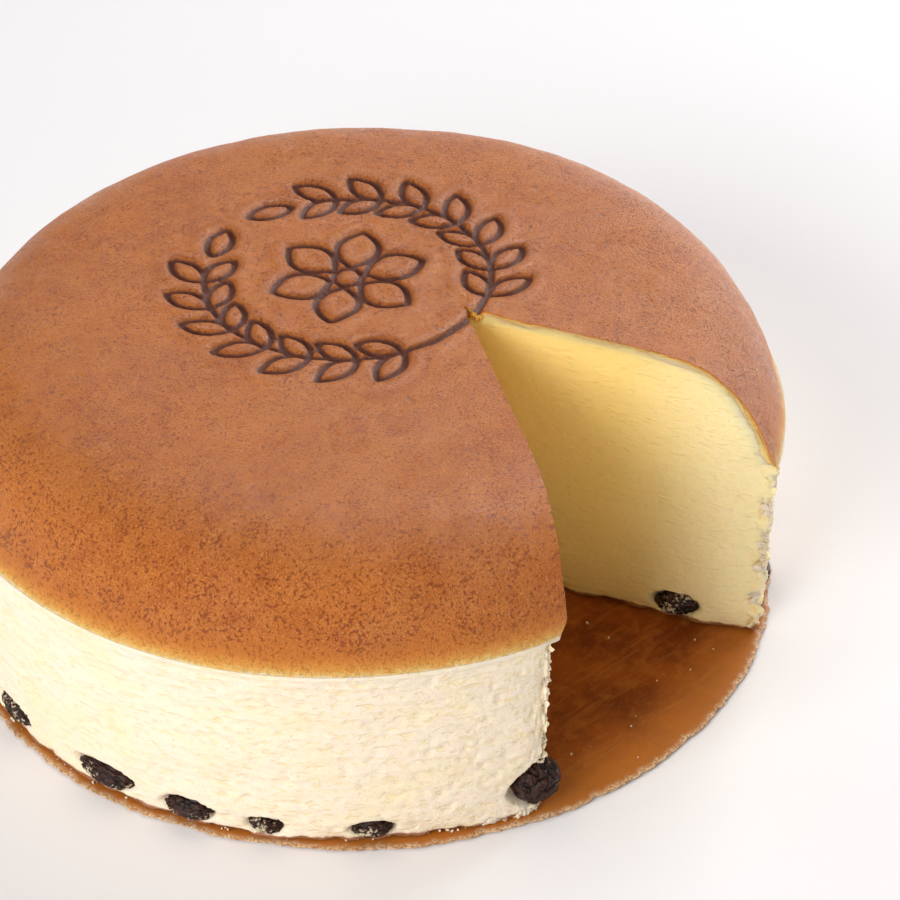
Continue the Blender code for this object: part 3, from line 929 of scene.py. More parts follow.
def mark_guide(radius):
    """The mark's lines as an edge mesh lying at height zero."""
    points, edges = [], []
    cosine, sine = math.cos(MARK_TURN), math.sin(MARK_TURN)
    for line in mark_lines(radius):
        first = len(points)
        for x, y in line:
            points.append((MARK_MIDDLE[0] + AXIS[0] + x * cosine - y * sine,
                           MARK_MIDDLE[1] + AXIS[1] + x * sine + y * cosine, 0.0))
        edges += [(first + k, first + k + 1) for k in range(len(line) - 1)]
    mesh = bpy.data.meshes.new("mark_guide")
    mesh.from_pydata(points, edges, [])
    guide = bpy.data.objects.new("mark_guide", mesh)
    bpy.context.scene.collection.objects.link(guide)
    return guide


def add_input(tree, name, kind, default=None):
    """Add a named input to a node group."""
    socket = tree.interface.new_socket(name=name, in_out="INPUT", socket_type=kind)
    if default is not None:
        socket.default_value = default
    return socket


def new_tree(name):
    """A Geometry Nodes tree with its geometry input and output."""
    tree = bpy.data.node_groups.new(name, "GeometryNodeTree")
    tree.interface.new_socket(name="Geometry", in_out="INPUT", socket_type="NodeSocketGeometry")
    tree.interface.new_socket(name="Geometry", in_out="OUTPUT", socket_type="NodeSocketGeometry")
    return tree


def use_tree(obj, tree, values):
    """Put a tree on an object as a modifier and set its inputs by their identifiers."""
    modifier = obj.modifiers.new(tree.name, "NODES")
    modifier.node_group = tree
    known = {item.name: item.identifier for item in tree.interface.items_tree
             if item.item_type == "SOCKET" and item.in_out == "INPUT"}
    for name, value in values.items():
        modifier[known[name]] = value
    return modifier


def sear_tree():
    """Press lines into a surface: depth under each line, a low swelling beside it, and the distance kept."""
    tree = new_tree("seared_mark")
    for name, kind in (("Lines", "NodeSocketObject"), ("Line Width", "NodeSocketFloat"),
                       ("Depth", "NodeSocketFloat"), ("Puff", "NodeSocketFloat"),
                       ("Finish", "NodeSocketMaterial")):
        add_input(tree, name, kind)
    n = Nodes(tree)
    inputs = n.add("NodeGroupInput").outputs
    place = n.add("GeometryNodeInputPosition").outputs[0]
    flatten = n.add("ShaderNodeVectorMath", operation="MULTIPLY")
    n.feed(flatten, 0, place)
    flatten.inputs[1].default_value = (1.0, 1.0, 0.0)
    guide = n.add("GeometryNodeObjectInfo")
    n.feed(guide, "Object", inputs["Lines"])
    near = n.add("GeometryNodeProximity", target_element="EDGES")
    n.feed(near, 0, guide.outputs["Geometry"])
    n.feed(near, "Sample Position", flatten.outputs[0])
    distance = near.outputs["Distance"]
    half = n.math("MULTIPLY", inputs["Line Width"], 0.5)
    groove = n.span(distance, n.math("MULTIPLY", half, 0.45), n.math("MULTIPLY", half, 1.45), 1.0, 0.0)
    offset = n.math("DIVIDE", n.math("SUBTRACT", distance, n.math("MULTIPLY", half, 3.2)),
                    n.math("MULTIPLY", half, 1.7))
    swell = n.math("EXPONENT", n.math("MULTIPLY", n.math("MULTIPLY", offset, offset), -1.0))
    shift = n.math("SUBTRACT", n.math("MULTIPLY", swell, inputs["Puff"]),
                   n.math("MULTIPLY", groove, inputs["Depth"]))
    depth = n.add("GeometryNodeInputNamedAttribute", data_type="FLOAT")
    depth.inputs["Name"].default_value = "under_top"
    on_top = n.span(depth.outputs["Attribute"], CRUST_T, 0.0040, 1.0, 0.0, smoothly=False)
    move = n.add("ShaderNodeCombineXYZ")
    n.feed(move, 2, n.math("MULTIPLY", n.math("SUBTRACT", shift, inputs["Puff"]), on_top))
    moved = n.add("GeometryNodeSetPosition")
    n.feed(moved, "Geometry", inputs["Geometry"])
    n.feed(moved, "Offset", move.outputs[0])
    keep = n.add("GeometryNodeStoreNamedAttribute", data_type="FLOAT", domain="POINT")
    keep.inputs["Name"].default_value = "sear"
    n.feed(keep, "Geometry", moved.outputs[0])
    n.feed(keep, "Value", distance)
    finish = n.add("GeometryNodeSetMaterial")
    n.feed(finish, "Geometry", keep.outputs[0])
    n.feed(finish, "Material", inputs["Finish"])
    out = n.add("NodeGroupOutput")
    n.feed(out, 0, finish.outputs[0])
    return tree


def press_mark(obj, form, finish):
    """Put the seared mark's modifier on a piece."""
    tree = bpy.data.node_groups.get("seared_mark") or sear_tree()
    guide = bpy.data.objects.get("mark_guide") or mark_guide(form.mark_radius)
    use_tree(obj, tree, {"Lines": guide, "Line Width": form.mark_line, "Depth": form.mark_depth,
                         "Puff": form.mark_puff, "Finish": finish})


class MakeCrust(bpy.types.Operator):
    """Make the browned top with its seared mark"""

    bl_idname = "cheesecake.make_crust"
    bl_label = "Make Crust"

    def execute(self, context):
        form = context.scene.cheesecake_form
        shell = crust_mesh("crust_blank", form.crust_columns)
        press_mark(shell, form, crust_material(context.scene.cheesecake_colors))
        crust = applied(shell, "cake_crust")
        crust.data.set_sharp_from_angle(angle=math.radians(55.0))
        settle(crust, "cake")
        return {"FINISHED"}


# ---------------------------------------------------------------- crumb

def side_radius(height):
    """Radius of the crumb's side at a height, tucked in behind the crust's lower edge."""
    share = np.clip((SIDE_TOP - height) / (SIDE_TOP - FOOT), 0.0, 1.0)
    side = SIDE_TOP_R + (FOOT_R - SIDE_TOP_R) * share + SIDE_SWELL * np.sin(math.pi * share)
    inner = RIM_BEAD - BEAD_INSET + BEAD_LAP * smooth((RIM_Z - 0.0002 - height) / 0.0006)
    rise = np.clip((height - RIM_Z) / inner, -0.45, 0.0)
    behind = RIM_R - RIM_BEAD + inner * np.sqrt(1.0 - rise * rise)
    return side + (behind - side) * smooth((height - TUCK_START) / TUCK_HEIGHT)


def raisin_boxes():
    """Middle and half size of each raisin's solid, about the cake's axis."""
    boxes = {}
    for node in sorted(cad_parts):
        if node.startswith("raisin_"):
            low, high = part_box(node)
            boxes[node] = (np.array((low + high) / 2.0) - AXIS, np.array((high - low) / 2.0))
    return boxes


def crumb_outline(rows):
    """Points of the crumb's upright surface: table (row, place round the outline) and attributes."""
    cut_count, side_count = 150, 690
    shares = np.linspace(0.0, 1.0, rows + 1)
    along = smooth(np.linspace(0.0, 1.0, cut_count)) * 0.25 + np.linspace(0.0, 1.0, cut_count) * 0.75
    top_z = RIM_Z

    def cut_part(side, places):
        direction, _ = cut_frame(side)
        corner = rim_angle(side, side_radius(np.array(top_z)))[1]
        flat = CUT_TIP[:, None] + direction[:, None] * places * corner
        flat_r = np.hypot(*flat)
        fall = dome_slope(flat_r) * (flat * direction[:, None]).sum(0) / flat_r
        stretch = np.sqrt(1.0 + fall * fall)
        below = np.interp(places * corner, places * corner - CRUST_T * fall / stretch,
                          dome(flat_r) - (CRUST_T - 0.00025) / stretch)
        ceiling = np.maximum(below, top_z)
        height = FOOT + (ceiling - FOOT)[None] * shares[:, None]
        reach = rim_angle(side, side_radius(height))[1] * places[None]
        points = np.dstack([CUT_TIP[0] + direction[0] * reach, CUT_TIP[1] + direction[1] * reach, height])
        return points, ceiling[None] - height

    right, under_right = cut_part("right", along)
    left, under_left = cut_part("left", along)
    height = FOOT + (top_z - FOOT) * shares
    radius = side_radius(height)
    starts, ends = rim_angle("right", radius)[0], rim_angle("left", radius)[0]
    spread = column_angles(side_count + 2, 0.0, 1.0, 2.6, 0.022)[1:-1]
    angle = starts[:, None] + (ends - starts)[:, None] * spread[None]
    side = np.dstack([radius[:, None] * np.cos(angle), radius[:, None] * np.sin(angle),
                      np.broadcast_to(height[:, None], angle.shape)])
    tables = [right, side, left[:, :0:-1]]
    under_side = np.broadcast_to(top_z - height[:, None], side.shape[:2])
    unders = [under_right, under_side, under_left[:, :0:-1]]
    corner_fade = np.clip(1.0 - np.abs(along - 1.0) / 0.02, 0.0, 1.0)
    on_cut = np.broadcast_to(1.0 - 0.5 * corner_fade, right.shape[:2])
    faces_cut = [on_cut, np.zeros(side.shape[:2]), on_cut[:, :0:-1]]
    return np.concatenate(tables, 1), np.concatenate(faces_cut, 1), np.concatenate(unders, 1)


def crumb_relief(points, cut_face, ridge):
    """Distance each point of the upright surface moves inwards, in metres."""
    space = polar(points)
    grain = noise_at(points, 0.0011, 61.0)
    bands = noise_at(space, 0.0021, 67.0, (3.4, 1.0, 0.75))
    wide = noise_at(space, 0.0060, 71.0, (2.6, 1.0, 0.8))
    pits = np.clip(noise_at(points, 0.0020, 73.0) - 0.35, 0.0, 1.0)
    side = ridge * (0.26 * (1.0 - bands) + 0.34 * (1.0 - wide)) + 0.00010 * (1.0 - grain) + 0.0006 * pits
    swell = noise_at(points, 0.0095, 79.0)
    cut = 0.00016 * (1.0 - swell) + 0.00004 * (1.0 - grain) + 0.0005 * pits * pits
    return side * (1.0 - cut_face) + cut * cut_face


def torn_depth(height):
    """How far the torn corner falls back at a height."""
    body = FOOT_TEAR + (CRUMB_TEAR - FOOT_TEAR) * np.clip(height / SIDE_TOP, 0.0, 1.0)
    return body + (crust_tear(height) + 0.0002 - body) * smooth((height - 0.0440) / 0.0030)


def crumb_points(rows, ridge):
    """The crumb's upright surface with its ridges, pits, torn corners and hollows for the raisins."""
    points, cut_face, under = crumb_outline(rows)
    count = points.shape[1]
    nominal = points.copy()
    after = np.roll(points, -1, 1) - np.roll(points, 1, 1)
    outward = np.stack([after[..., 1], -after[..., 0]], -1)
    outward /= np.maximum(np.linalg.norm(outward, axis=-1, keepdims=True), 1e-9)
    points = uneven(points)
    relief = crumb_relief(nominal, cut_face, ridge)
    tip_fade = smooth(np.hypot(nominal[..., 0] - CUT_TIP[0], nominal[..., 1] - CUT_TIP[1]) / 0.004)
    top_fade = np.where(cut_face > 0.4, smooth(under / 0.0010), smooth((under - 0.0008) / 0.0014))
    relief *= tip_fade * top_fade

    torn = 0.0
    for side in ("left", "right"):
        reach = rim_angle(side, side_radius(nominal[..., 2]))[1][..., None]
        gap = np.linalg.norm(nominal[..., :2] - CUT_TIP - cut_frame(side)[0] * reach, axis=-1)
        torn = torn + np.exp(-(gap / TORN_WIDTH) ** 2)
    rough = 0.30 + 1.1 * noise_at(nominal, 0.0046, 83.0) + 0.9 * noise_at(nominal, 0.0015, 89.0)
    relief += torn * TORN_DEPTH * np.clip(rough, -0.45, 1.7) * top_fade
    foot_zone = np.exp(-np.maximum(nominal[..., 2] - FOOT, 0.0) / FOOT_RAGGED_HEIGHT)
    ragged_foot = np.clip(0.2 + 0.9 * noise_at(polar(nominal), 0.0046, 91.0), 0.0, 1.0)
    relief += foot_zone * FOOT_RAGGED * ragged_foot * tip_fade
    points[..., :2] -= outward * relief[..., None]
    points = fall_back(points, torn_depth(nominal[..., 2]))

    for node, (middle, half) in raisin_boxes().items():
        size = float(np.linalg.norm(half[:2])) * 1.04
        offset = (points - middle) / np.array([size, size, half[2] * 1.24])
        gap = np.linalg.norm(offset, axis=-1) + 0.45 * np.maximum(-offset[..., 2] - 0.1, 0.0)
        press = smooth((1.10 - gap) / (0.20 if node == CORNER_RAISIN else 0.36))
        points[..., :2] -= outward * (press * HOLLOW_DEPTH)[..., None]
    return points, cut_face, under, count


def crumb_mesh(name, rows, ridge):
    """Close the crumb's upright surface with a foot and a top under the crust."""
    points, cut_face, under, count = crumb_points(rows, ridge)
    ring = np.arange((rows + 1) * count).reshape(rows + 1, count)
    wrapped = np.concatenate([ring, ring[:, :1]], 1)
    faces = grid_quads(wrapped)
    heart = np.array([CUT_TIP[0], CUT_TIP[1] + 0.036])
    tables, attributes_cut, attributes_under = [points.reshape(-1, 3)], [cut_face.ravel()], [under.ravel()]
    last = ring[-1]
    total = points.shape[0] * count
    top = points[-1]
    for share in (0.03, 0.12, 0.3, 0.55, 0.8):
        flat = top[:, :2] + (heart - top[:, :2]) * share
        radius = np.hypot(flat[:, 0], flat[:, 1])
        angle = np.arctan2(flat[:, 1], flat[:, 0])
        lift = waves(LIFT_WAVES, angle) * (radius / RIM_R) ** 2
        height = dome(radius) + lift - CRUST_T - BODY_T - 0.0003
        height = np.minimum(height, top[:, 2] - 0.0004) if share < 0.05 else height
        tables.append(np.column_stack([flat, height]))
        attributes_cut.append(np.zeros(count))
        attributes_under.append(np.zeros(count))
        inner = np.arange(total, total + count)
        total += count
        faces += grid_quads(np.stack([np.append(last, last[0]), np.append(inner, inner[0])]))
        last = inner
    tables.append(np.array([[heart[0], heart[1], float(dome(np.hypot(*heart))) - CRUST_T - BODY_T - 0.0003]]))
    attributes_cut.append(np.zeros(1))
    attributes_under.append(np.zeros(1))
    faces += [[int(last[j]), int(last[(j + 1) % count]), total][::-1] for j in range(count)]
    tables.append(np.array([[heart[0], heart[1], FOOT]]))
    attributes_cut.append(np.zeros(1))
    attributes_under.append(np.full(1, FOOT))
    faces += [[int(ring[0, j]), int(ring[0, (j + 1) % count]), total + 1] for j in range(count)]
    every = np.concatenate(tables)
    obj = add_piece(name, every, faces, {
        "cut_face": np.concatenate(attributes_cut),
        "tip_distance": np.hypot(*(every[:, :2] - CUT_TIP).T),
        "under_crust": np.concatenate(attributes_under),
        "under_top": np.concatenate(attributes_under) + CRUST_T,
    })
    align_faces(obj)
    return obj


class MakeCrumb(bpy.types.Operator):
    """Make the pale crumb with its side, its two cut faces and its torn corners"""

    bl_idname = "cheesecake.make_crumb"
    bl_label = "Make Crumb"

    def execute(self, context):
        form = context.scene.cheesecake_form
        blank = crumb_mesh("crumb_blank", form.crumb_rows, form.ridge)
        press_mark(blank, form, crumb_material(context.scene.cheesecake_colors))
        crumb = applied(blank, "cake_crumb")
        crumb.data.set_sharp_from_angle(angle=math.radians(65.0))
        bpy.data.objects.remove(bpy.data.objects["mark_guide"])
        settle(crumb, "cake", "cake")
        return {"FINISHED"}


# ---------------------------------------------------------------- base sheet

def sheet_mesh(name):
    """The thin base sheet with a slightly ragged edge."""
    columns, rings = 900, 26
    angles = np.linspace(0.0, math.tau, columns, endpoint=False)
    circle = np.stack([np.cos(angles), np.sin(angles), np.zeros(columns)], -1)
    edge = SHEET_R - 0.0002 + 0.0005 * (noise_at(circle * SHEET_R, 0.010, 101.0) - 1.0)
    edge += 0.00034 * (noise_at(circle * SHEET_R, 0.0018, 103.0) - 1.0)
    shares = np.concatenate([np.linspace(0.05, 0.80, 12), np.linspace(0.82, 1.0, rings - 12)])
    top = circle[None] * edge[None, :, None] * shares[:, None, None]
    ripple = 0.5 * (noise_at(top, 0.009, 107.0) - 1.0) + 0.35 * (noise_at(top, 0.0024, 109.0) - 1.0)
    top[..., 2] = SHEET_TOP - 0.00003 + 0.00012 * ripple
    top[-1, :, 2] -= 0.00025
    low = circle * (edge - 0.0001)[:, None]
    middle_top = np.array([[0.0, 0.0, SHEET_TOP - 0.0001]])
    points = np.concatenate([top.reshape(-1, 3), low, middle_top])
    index = np.arange(rings * columns).reshape(rings, columns)
    wrapped = np.concatenate([index, index[:, :1]], 1)
    faces = grid_quads(wrapped)
    base = rings * columns
    faces += grid_quads(np.stack([wrapped[-1], np.append(np.arange(base, base + columns), base)]))
    centre = base + columns
    faces += [[centre, int(index[0, (j + 1) % columns]), int(index[0, j])] for j in range(columns)]
    faces.append(list(range(base, base + columns)))
    edge_distance = np.concatenate([(edge[None] * (1.0 - shares[:, None])).ravel(), np.zeros(columns),
                                    [SHEET_R]])
    obj = add_piece(name, points, faces, {"edge_distance": edge_distance})
    align_faces(obj)
    obj.data.set_sharp_from_angle(angle=math.radians(50.0))
    return obj


class MakeBaseSheet(bpy.types.Operator):
    """Make the browned base sheet"""

    bl_idname = "cheesecake.make_base_sheet"
    bl_label = "Make Base Sheet"

    def execute(self, context):
        sheet = sheet_mesh("browned_base_sheet")
        sheet.data.materials.append(sheet_material(context.scene.cheesecake_colors))
        settle(sheet, "base_sheet", "base_sheet")
        return {"FINISHED"}


# ---------------------------------------------------------------- raisins

def raisin_frame(node):
    """Middle, long-axis turn and half sizes of a raisin, from its solid."""
    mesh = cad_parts[node].data
    points = np.empty(len(mesh.vertices) * 3)
    mesh.vertices.foreach_get("co", points)
    points = points.reshape(-1, 3)
    middle = (points.min(0) + points.max(0)) / 2.0
    _, axes = np.linalg.eigh(np.cov((points - points.mean(0)).T))
    axes = axes[:, ::-1]
    if np.linalg.det(axes) < 0.0:
        axes[:, 2] *= -1.0
    local = (points - middle) @ axes
    return middle, axes, (local.max(0) - local.min(0)) / 2.0


def raisin_mesh(name, node, seed, detail):
    """One wrinkled raisin that fills its solid."""
    middle, axes, half = raisin_frame(node)
    work = bmesh.new()
    bmesh.ops.create_icosphere(work, subdivisions=detail, radius=1.0)
    unit = np.array([vertex.co for vertex in work.verts])
    big = noise_at(unit * np.array([0.55, 1.0, 1.0]), 0.62, seed)
    fold = 1.0 - np.abs(noise_at(unit * np.array([0.6, 1.0, 1.0]) + 0.16 * big[:, None], 0.34, seed + 7.0))
    small = 1.0 - np.abs(noise_at(unit, 0.13, seed + 13.0))
    crease = fold ** 3
    scale = 1.0 - 0.16 * crease - 0.045 * small ** 2 - 0.08 * (0.5 + 0.5 * big)
    local = unit * scale[:, None]
    low, high = local.min(0), local.max(0)
    local = ((local - (low + high) / 2.0) / ((high - low) / 2.0)) * half
    place = local @ axes.T + middle - AXIS
    faces = [[vertex.index for vertex in face.verts] for face in work.faces]
    work.free()
    outward = place + AXIS - middle
    smear = 0.36 + 0.70 * noise_at(place, 0.0042, seed + 3.0)
    smear -= 0.25 * (outward[:, 2] > 0.0)
    if node == CORNER_RAISIN:
        smear -= 0.80
    obj = add_piece(name, place, faces, {"fold": 1.0 - crease, "smear": np.clip(smear, -0.4, 1.0)})
    face_outwards(obj)
    return obj


class MakeRaisins(bpy.types.Operator):
    """Make the raisins at the foot of the cake and in its cut faces"""

    bl_idname = "cheesecake.make_raisins"
    bl_label = "Make Raisins"

    def execute(self, context):
        finish = raisin_material(context.scene.cheesecake_colors)
        nodes = [node for node in sorted(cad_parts) if node.startswith("raisin_")]
        for number, node in enumerate(nodes, start=1):
            detail = 6 if node == CORNER_RAISIN else 5
            raisin = raisin_mesh(f"raisin_skin_{number:02d}", node, 5.3 * number, detail)
            raisin.data.materials.append(finish)
            settle(raisin, "raisin", node)
        return {"FINISHED"}


# ---------------------------------------------------------------- loose crumbs

def crumb_tree(name, detail):
    """Scatter small irregular crumbs on points: size falls off by a random power, so most are small."""
    tree = new_tree(name)
    for label, kind in (("Size", "NodeSocketFloat"), ("Smallest", "NodeSocketFloat"),
                        ("Flatness", "NodeSocketFloat"), ("Seed", "NodeSocketInt"),
                        ("Finish", "NodeSocketMaterial")):
        add_input(tree, label, kind)
    n = Nodes(tree)
    inputs = n.add("NodeGroupInput").outputs
    points = n.add("GeometryNodeMeshToPoints")
    n.feed(points, 0, inputs["Geometry"])
    lump = n.add("GeometryNodeMeshIcoSphere")
    lump.inputs["Radius"].default_value = 0.5
    lump.inputs["Subdivisions"].default_value = detail
    turn = n.add("FunctionNodeRandomValue", data_type="FLOAT_VECTOR")
    turn.inputs[0].default_value = (0.0, 0.0, 0.0)
    turn.inputs[1].default_value = (6.283, 6.283, 6.283)
    n.feed(turn, "Seed", inputs["Seed"])
    chance = n.add("FunctionNodeRandomValue", data_type="FLOAT")
    n.feed(chance, "Seed", n.math("ADD", inputs["Seed"], 11.0))
    power = n.math("POWER", chance.outputs[1], 2.6)
    size = n.math("MULTIPLY", inputs["Size"],
                  n.math("ADD", inputs["Smallest"],
                         n.math("MULTIPLY", power, n.math("SUBTRACT", 1.0, inputs["Smallest"]))))
    local = n.add("GeometryNodeInputNamedAttribute", data_type="FLOAT")
    local.inputs["Name"].default_value = "lump"
    size = n.math("MULTIPLY", size, local.outputs["Attribute"])
    shape = n.add("FunctionNodeRandomValue", data_type="FLOAT_VECTOR")
    shape.inputs[0].default_value = (0.65, 0.6, 0.5)
    shape.inputs[1].default_value = (1.35, 1.1, 1.0)
    n.feed(shape, "Seed", n.math("ADD", inputs["Seed"], 23.0))
    scale = n.add("ShaderNodeVectorMath", operation="SCALE")
    n.feed(scale, 0, shape.outputs[0])
    n.feed(scale, "Scale", size)
    placed = n.add("GeometryNodeInstanceOnPoints")
    n.feed(placed, "Points", points.outputs[0])
    n.feed(placed, "Instance", lump.outputs[0])
    n.feed(placed, "Rotation", turn.outputs[0])
    n.feed(placed, "Scale", scale.outputs[0])
    real = n.add("GeometryNodeRealizeInstances")
    n.feed(real, 0, placed.outputs[0])
    wobble = n.add("ShaderNodeTexNoise")
    wobble.inputs["Scale"].default_value = 1900.0
    wobble.inputs["Detail"].default_value = 2.0
    centred = n.add("ShaderNodeVectorMath", operation="SUBTRACT")
    n.feed(centred, 0, wobble.outputs["Color"])
    centred.inputs[1].default_value = (0.5, 0.5, 0.5)
    push = n.add("ShaderNodeVectorMath", operation="SCALE")
    n.feed(push, 0, centred.outputs[0])
    n.feed(push, "Scale", n.math("MULTIPLY", inputs["Size"], inputs["Flatness"]))
    bent = n.add("GeometryNodeSetPosition")
    n.feed(bent, "Geometry", real.outputs[0])
    n.feed(bent, "Offset", push.outputs[0])
    split = n.add("ShaderNodeSeparateXYZ")
    n.feed(split, 0, n.add("GeometryNodeInputPosition").outputs[0])
    rest = n.add("ShaderNodeCombineXYZ")
    n.feed(rest, 0, split.outputs[0])
    n.feed(rest, 1, split.outputs[1])
    n.feed(rest, 2, n.math("MAXIMUM", split.outputs[2], SHEET_TOP - 0.0002))
    rested = n.add("GeometryNodeSetPosition")
    n.feed(rested, "Geometry", bent.outputs[0])
    n.feed(rested, "Position", rest.outputs[0])
    finish = n.add("GeometryNodeSetMaterial")
    n.feed(finish, "Geometry", rested.outputs[0])
    n.feed(finish, "Material", inputs["Finish"])
    out = n.add("NodeGroupOutput")
    n.feed(out, 0, finish.outputs[0])
    return tree


def scatter(name, places, sizes, tree, size, seed, finish, smallest=0.25, flatness=0.7):
    """Make crumbs at the places as one plain mesh."""
    seedbed = add_piece(name + "_places", places, [], {"lump": sizes}, smooth_shade=False)
    use_tree(seedbed, tree, {"Size": size, "Smallest": smallest, "Flatness": flatness, "Seed": seed,
                             "Finish": finish})
    made = applied(seedbed, name)
    made.data.shade_smooth()
    return made


def corner_places(random, count):
    """Places along the two torn corners, from foot to crust."""
    places = []
    for side in ("left", "right"):
        along, across = cut_frame(side)
        height = 0.0130 + random.random(count) * 0.0300
        reach = rim_angle(side, side_radius(height))[1]
        base = np.column_stack([CUT_TIP[0] + along[0] * reach, CUT_TIP[1] + along[1] * reach, height])
        base = fall_back(uneven(base), torn_depth(height))
        base[:, :2] += across * (0.0013 * random.random((count, 1)) - 0.0001)
        base[:, :2] -= along * (0.0004 + 0.0018 * random.random((count, 1)))
        places.append(base)
    return np.concatenate(places)


def foot_places(random, count, low, high):
    """Places round the foot on the base sheet, outside the missing wedge."""
    start, end = float(rim_angle("right", FOOT_R)[0]), float(rim_angle("left", FOOT_R)[0])
    angle = start + (end - start) * random.random(count)
    circle = np.column_stack([np.cos(angle), np.sin(angle), np.zeros(count)]) * FOOT_R
    clump = noise_at(circle, 0.006, 7.0)
    keep = random.random(count) < np.clip(0.42 + 0.75 * clump, 0.05, 1.0)
    angle = angle[keep]
    radius = FOOT_R + waves(PLAN_WAVES, angle) + low + (high - low) * random.random(len(angle)) ** 1.6
    places = np.column_stack([radius * np.cos(angle), radius * np.sin(angle),
                              SHEET_TOP + 0.0001 + 0.0006 * random.random(len(angle)) ** 2])
    return fall_back(places, np.full(len(angle), FOOT_TEAR))


class MakeCrumbs(bpy.types.Operator):
    """Make the torn crumbs at the corners and the foot, and the loose ones on the base sheet"""

    bl_idname = "cheesecake.make_crumbs"
    bl_label = "Make Crumbs"

    def execute(self, context):
        form, colors = context.scene.cheesecake_form, context.scene.cheesecake_colors
        random = np.random.default_rng(12)
        pale = loose_crumb_material(colors, "pale_crumbs", True)
        brown = loose_crumb_material(colors, "browned_crumbs", False)
        small, large = crumb_tree("small_crumbs", 1), crumb_tree("torn_crumbs", 2)

        corner = corner_places(random, CORNER_CRUMBS)
        torn = scatter("torn_corner_crumbs", corner, np.ones(len(corner)), large, form.crumb_size * 2.8, 3,
                       pale, 0.25, 1.0)
        foot = foot_places(random, FOOT_CRUMBS, -0.0014, -0.0004)
        skirt = scatter("foot_crumbs", foot, np.ones(len(foot)), small, form.crumb_size * 1.8, 5, pale)

        start, end = float(rim_angle("left", FOOT_R)[0]) - math.tau, float(rim_angle("right", FOOT_R)[0])
        turn = start + (end - start) * random.random(LOOSE_CRUMBS)
        reach = 0.030 + 0.055 * np.sqrt(random.random(len(turn)))
        loose = np.column_stack([reach * np.cos(turn), reach * np.sin(turn),
                                 np.full(len(turn), SHEET_TOP + 0.0001)])
        loose_sizes = 0.5 + random.random(len(turn))
        scattered = scatter("loose_crumbs", loose, loose_sizes, large, form.crumb_size * 1.5, 15, pale)

        edges = []
        direction, across = cut_frame("right")
        for _ in range(CRUST_FLAKES):
            flat = CUT_TIP + direction * 0.0042 * random.random() ** 1.4 - across * 0.0005 * random.random()
            edges.append([*flat, float(dome(np.hypot(*flat))) - 0.0010 - 0.0022 * random.random()])
        flakes = scatter("crust_flakes", np.array(edges), np.ones(len(edges)), large,
                         form.crumb_size * 2.6, 19, brown, 0.35, 0.9)

        angle = rim_angle("left", FOOT_R)[0] - (0.045 + 0.19 * random.random(TORN_CLODS))
        reach = FOOT_R - 0.0030 + 0.0018 * random.random(len(angle))
        clods = np.column_stack([reach * np.cos(angle), reach * np.sin(angle),
                                 SHEET_TOP + 0.0006 + 0.0006 * random.random(len(angle))])
        clods = scatter("torn_clods", fall_back(clods, np.full(len(angle), FOOT_TEAR)), np.ones(len(angle)),
                        crumb_tree("torn_clods", 3), 0.0044, 27, pale, 0.5, 0.42)
        for piece in (torn, skirt, scattered, flakes, clods):
            settle(piece, "cake")
        return {"FINISHED"}


# ---------------------------------------------------------------- stage

def area_light(name, place, aim, size, power, tint):
    """A large soft light that faces its aim."""
    data = bpy.data.lights.new(name, "AREA")
    data.shape = "RECTANGLE"
    data.size, data.size_y = size
    data.energy = power
    data.color = tint
    light = bpy.data.objects.new(name, data)
    light.location = place
    light.rotation_euler = (Vector(aim) - Vector(place)).to_track_quat("-Z", "Y").to_euler()
    bpy.context.scene.collection.objects.link(light)


def seen_from(stage, side, back, height):
    """A place given across the view, away from the camera, and up."""
    turn = Matrix.Rotation(stage.azimuth, 3, "Z")
    return turn @ Vector((side, back, height)) + Vector(AXIS)


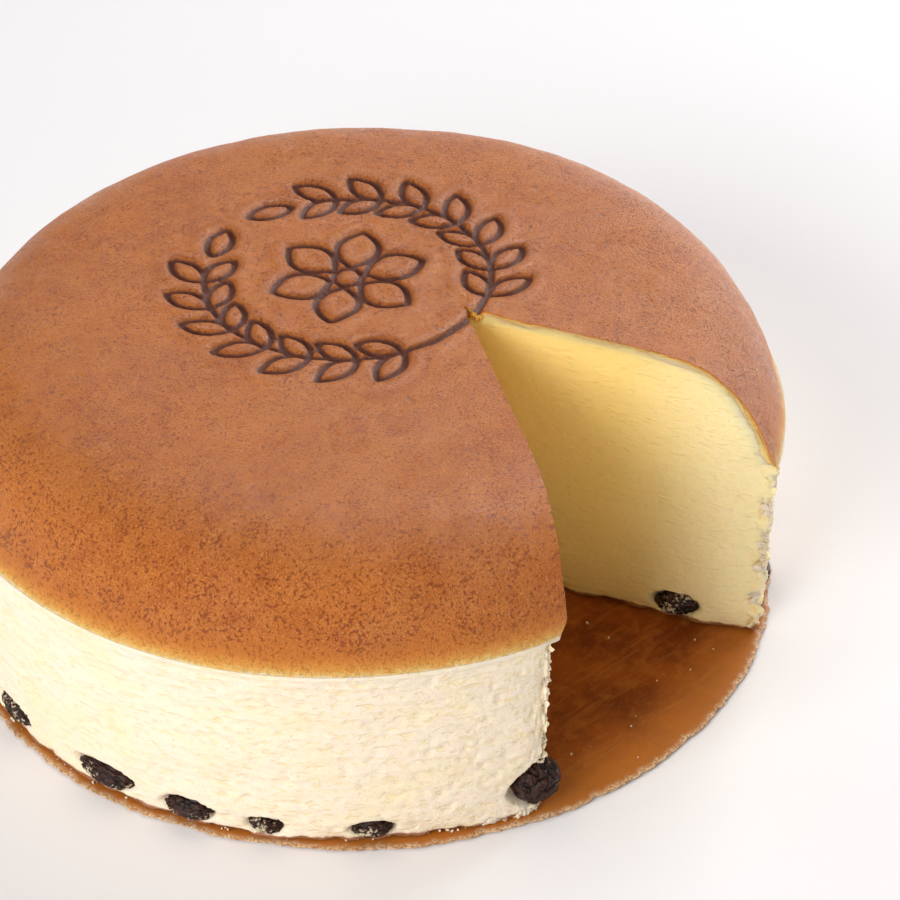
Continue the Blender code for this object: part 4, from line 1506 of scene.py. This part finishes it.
class SetStage(bpy.types.Operator):
    """Set the table, the soft lights and the camera"""

    bl_idname = "cheesecake.set_stage"
    bl_label = "Set Stage"

    def execute(self, context):
        stage = context.scene.cheesecake_stage
        bpy.ops.mesh.primitive_plane_add(size=8.0, location=(0.0, 0.0, -0.0004))
        table = context.object
        table.name = "table"
        table.data.materials.append(floor_material(stage.table))

        world = bpy.data.worlds.new("studio")
        world.use_nodes = True
        sky = world.node_tree.nodes["Background"]
        sky.inputs["Color"].default_value = (1.0, 0.965, 0.93, 1.0)
        sky.inputs["Strength"].default_value = stage.room_light
        context.scene.world = world

        aim = seen_from(stage, 0.0, 0.0, 0.03)
        powers = (stage.key_light, stage.window_light, stage.back_light)
        for (name, place, size, tint), power in zip(LIGHTS, powers):
            area_light(name, seen_from(stage, *place), aim, size, power, tint)

        data = bpy.data.cameras.new("camera")
        data.sensor_width = 36.0
        data.lens = stage.lens
        data.clip_start = 0.01
        camera = bpy.data.objects.new("camera", data)
        middle = seen_from(stage, stage.aim_side, stage.aim_depth, stage.aim_height)
        away = seen_from(stage, 0.0, -math.cos(stage.elevation), math.sin(stage.elevation)) - Vector(AXIS)
        camera.location = middle + away * stage.distance
        face = (-away).to_track_quat("-Z", "Y").to_matrix() @ Matrix.Rotation(stage.roll, 3, "Z")
        camera.rotation_euler = face.to_euler()
        context.scene.collection.objects.link(camera)
        context.scene.camera = camera
        context.scene.view_settings.view_transform = "Standard"
        return {"FINISHED"}


class CheesecakePanel(bpy.types.Panel):
    """Sidebar panel with the cake's steps and settings"""

    bl_idname = "VIEW3D_PT_cheesecake"
    bl_label = "Souffle Cheesecake"
    bl_space_type = "VIEW_3D"
    bl_region_type = "UI"
    bl_category = "Cheesecake"

    def draw(self, context):
        for operator in STEPS:
            self.layout.operator(operator.bl_idname)
        for group in (context.scene.cheesecake_form, context.scene.cheesecake_colors,
                      context.scene.cheesecake_stage):
            box = self.layout.box()
            for name in group.__annotations__:
                box.prop(group, name)


STEPS = (MakeCrust, MakeCrumb, MakeBaseSheet, MakeRaisins, MakeCrumbs, SetStage)
CLASSES = (CheesecakeForm, CheesecakeColors, CheesecakeStage, *STEPS, CheesecakePanel)


def register():
    """Register the classes and hang the settings on the scene."""
    for item in CLASSES:
        bpy.utils.register_class(item)
    bpy.types.Scene.cheesecake_form = PointerProperty(type=CheesecakeForm)
    bpy.types.Scene.cheesecake_colors = PointerProperty(type=CheesecakeColors)
    bpy.types.Scene.cheesecake_stage = PointerProperty(type=CheesecakeStage)


def unregister():
    """Take the settings and classes away again."""
    del bpy.types.Scene.cheesecake_stage
    del bpy.types.Scene.cheesecake_colors
    del bpy.types.Scene.cheesecake_form
    for item in reversed(CLASSES):
        bpy.utils.unregister_class(item)


def main():
    """Make every piece in order."""
    register()
    for operator in STEPS:
        group, action = operator.bl_idname.split(".")
        getattr(getattr(bpy.ops, group), action)()


if __name__ == "__main__":
    main()
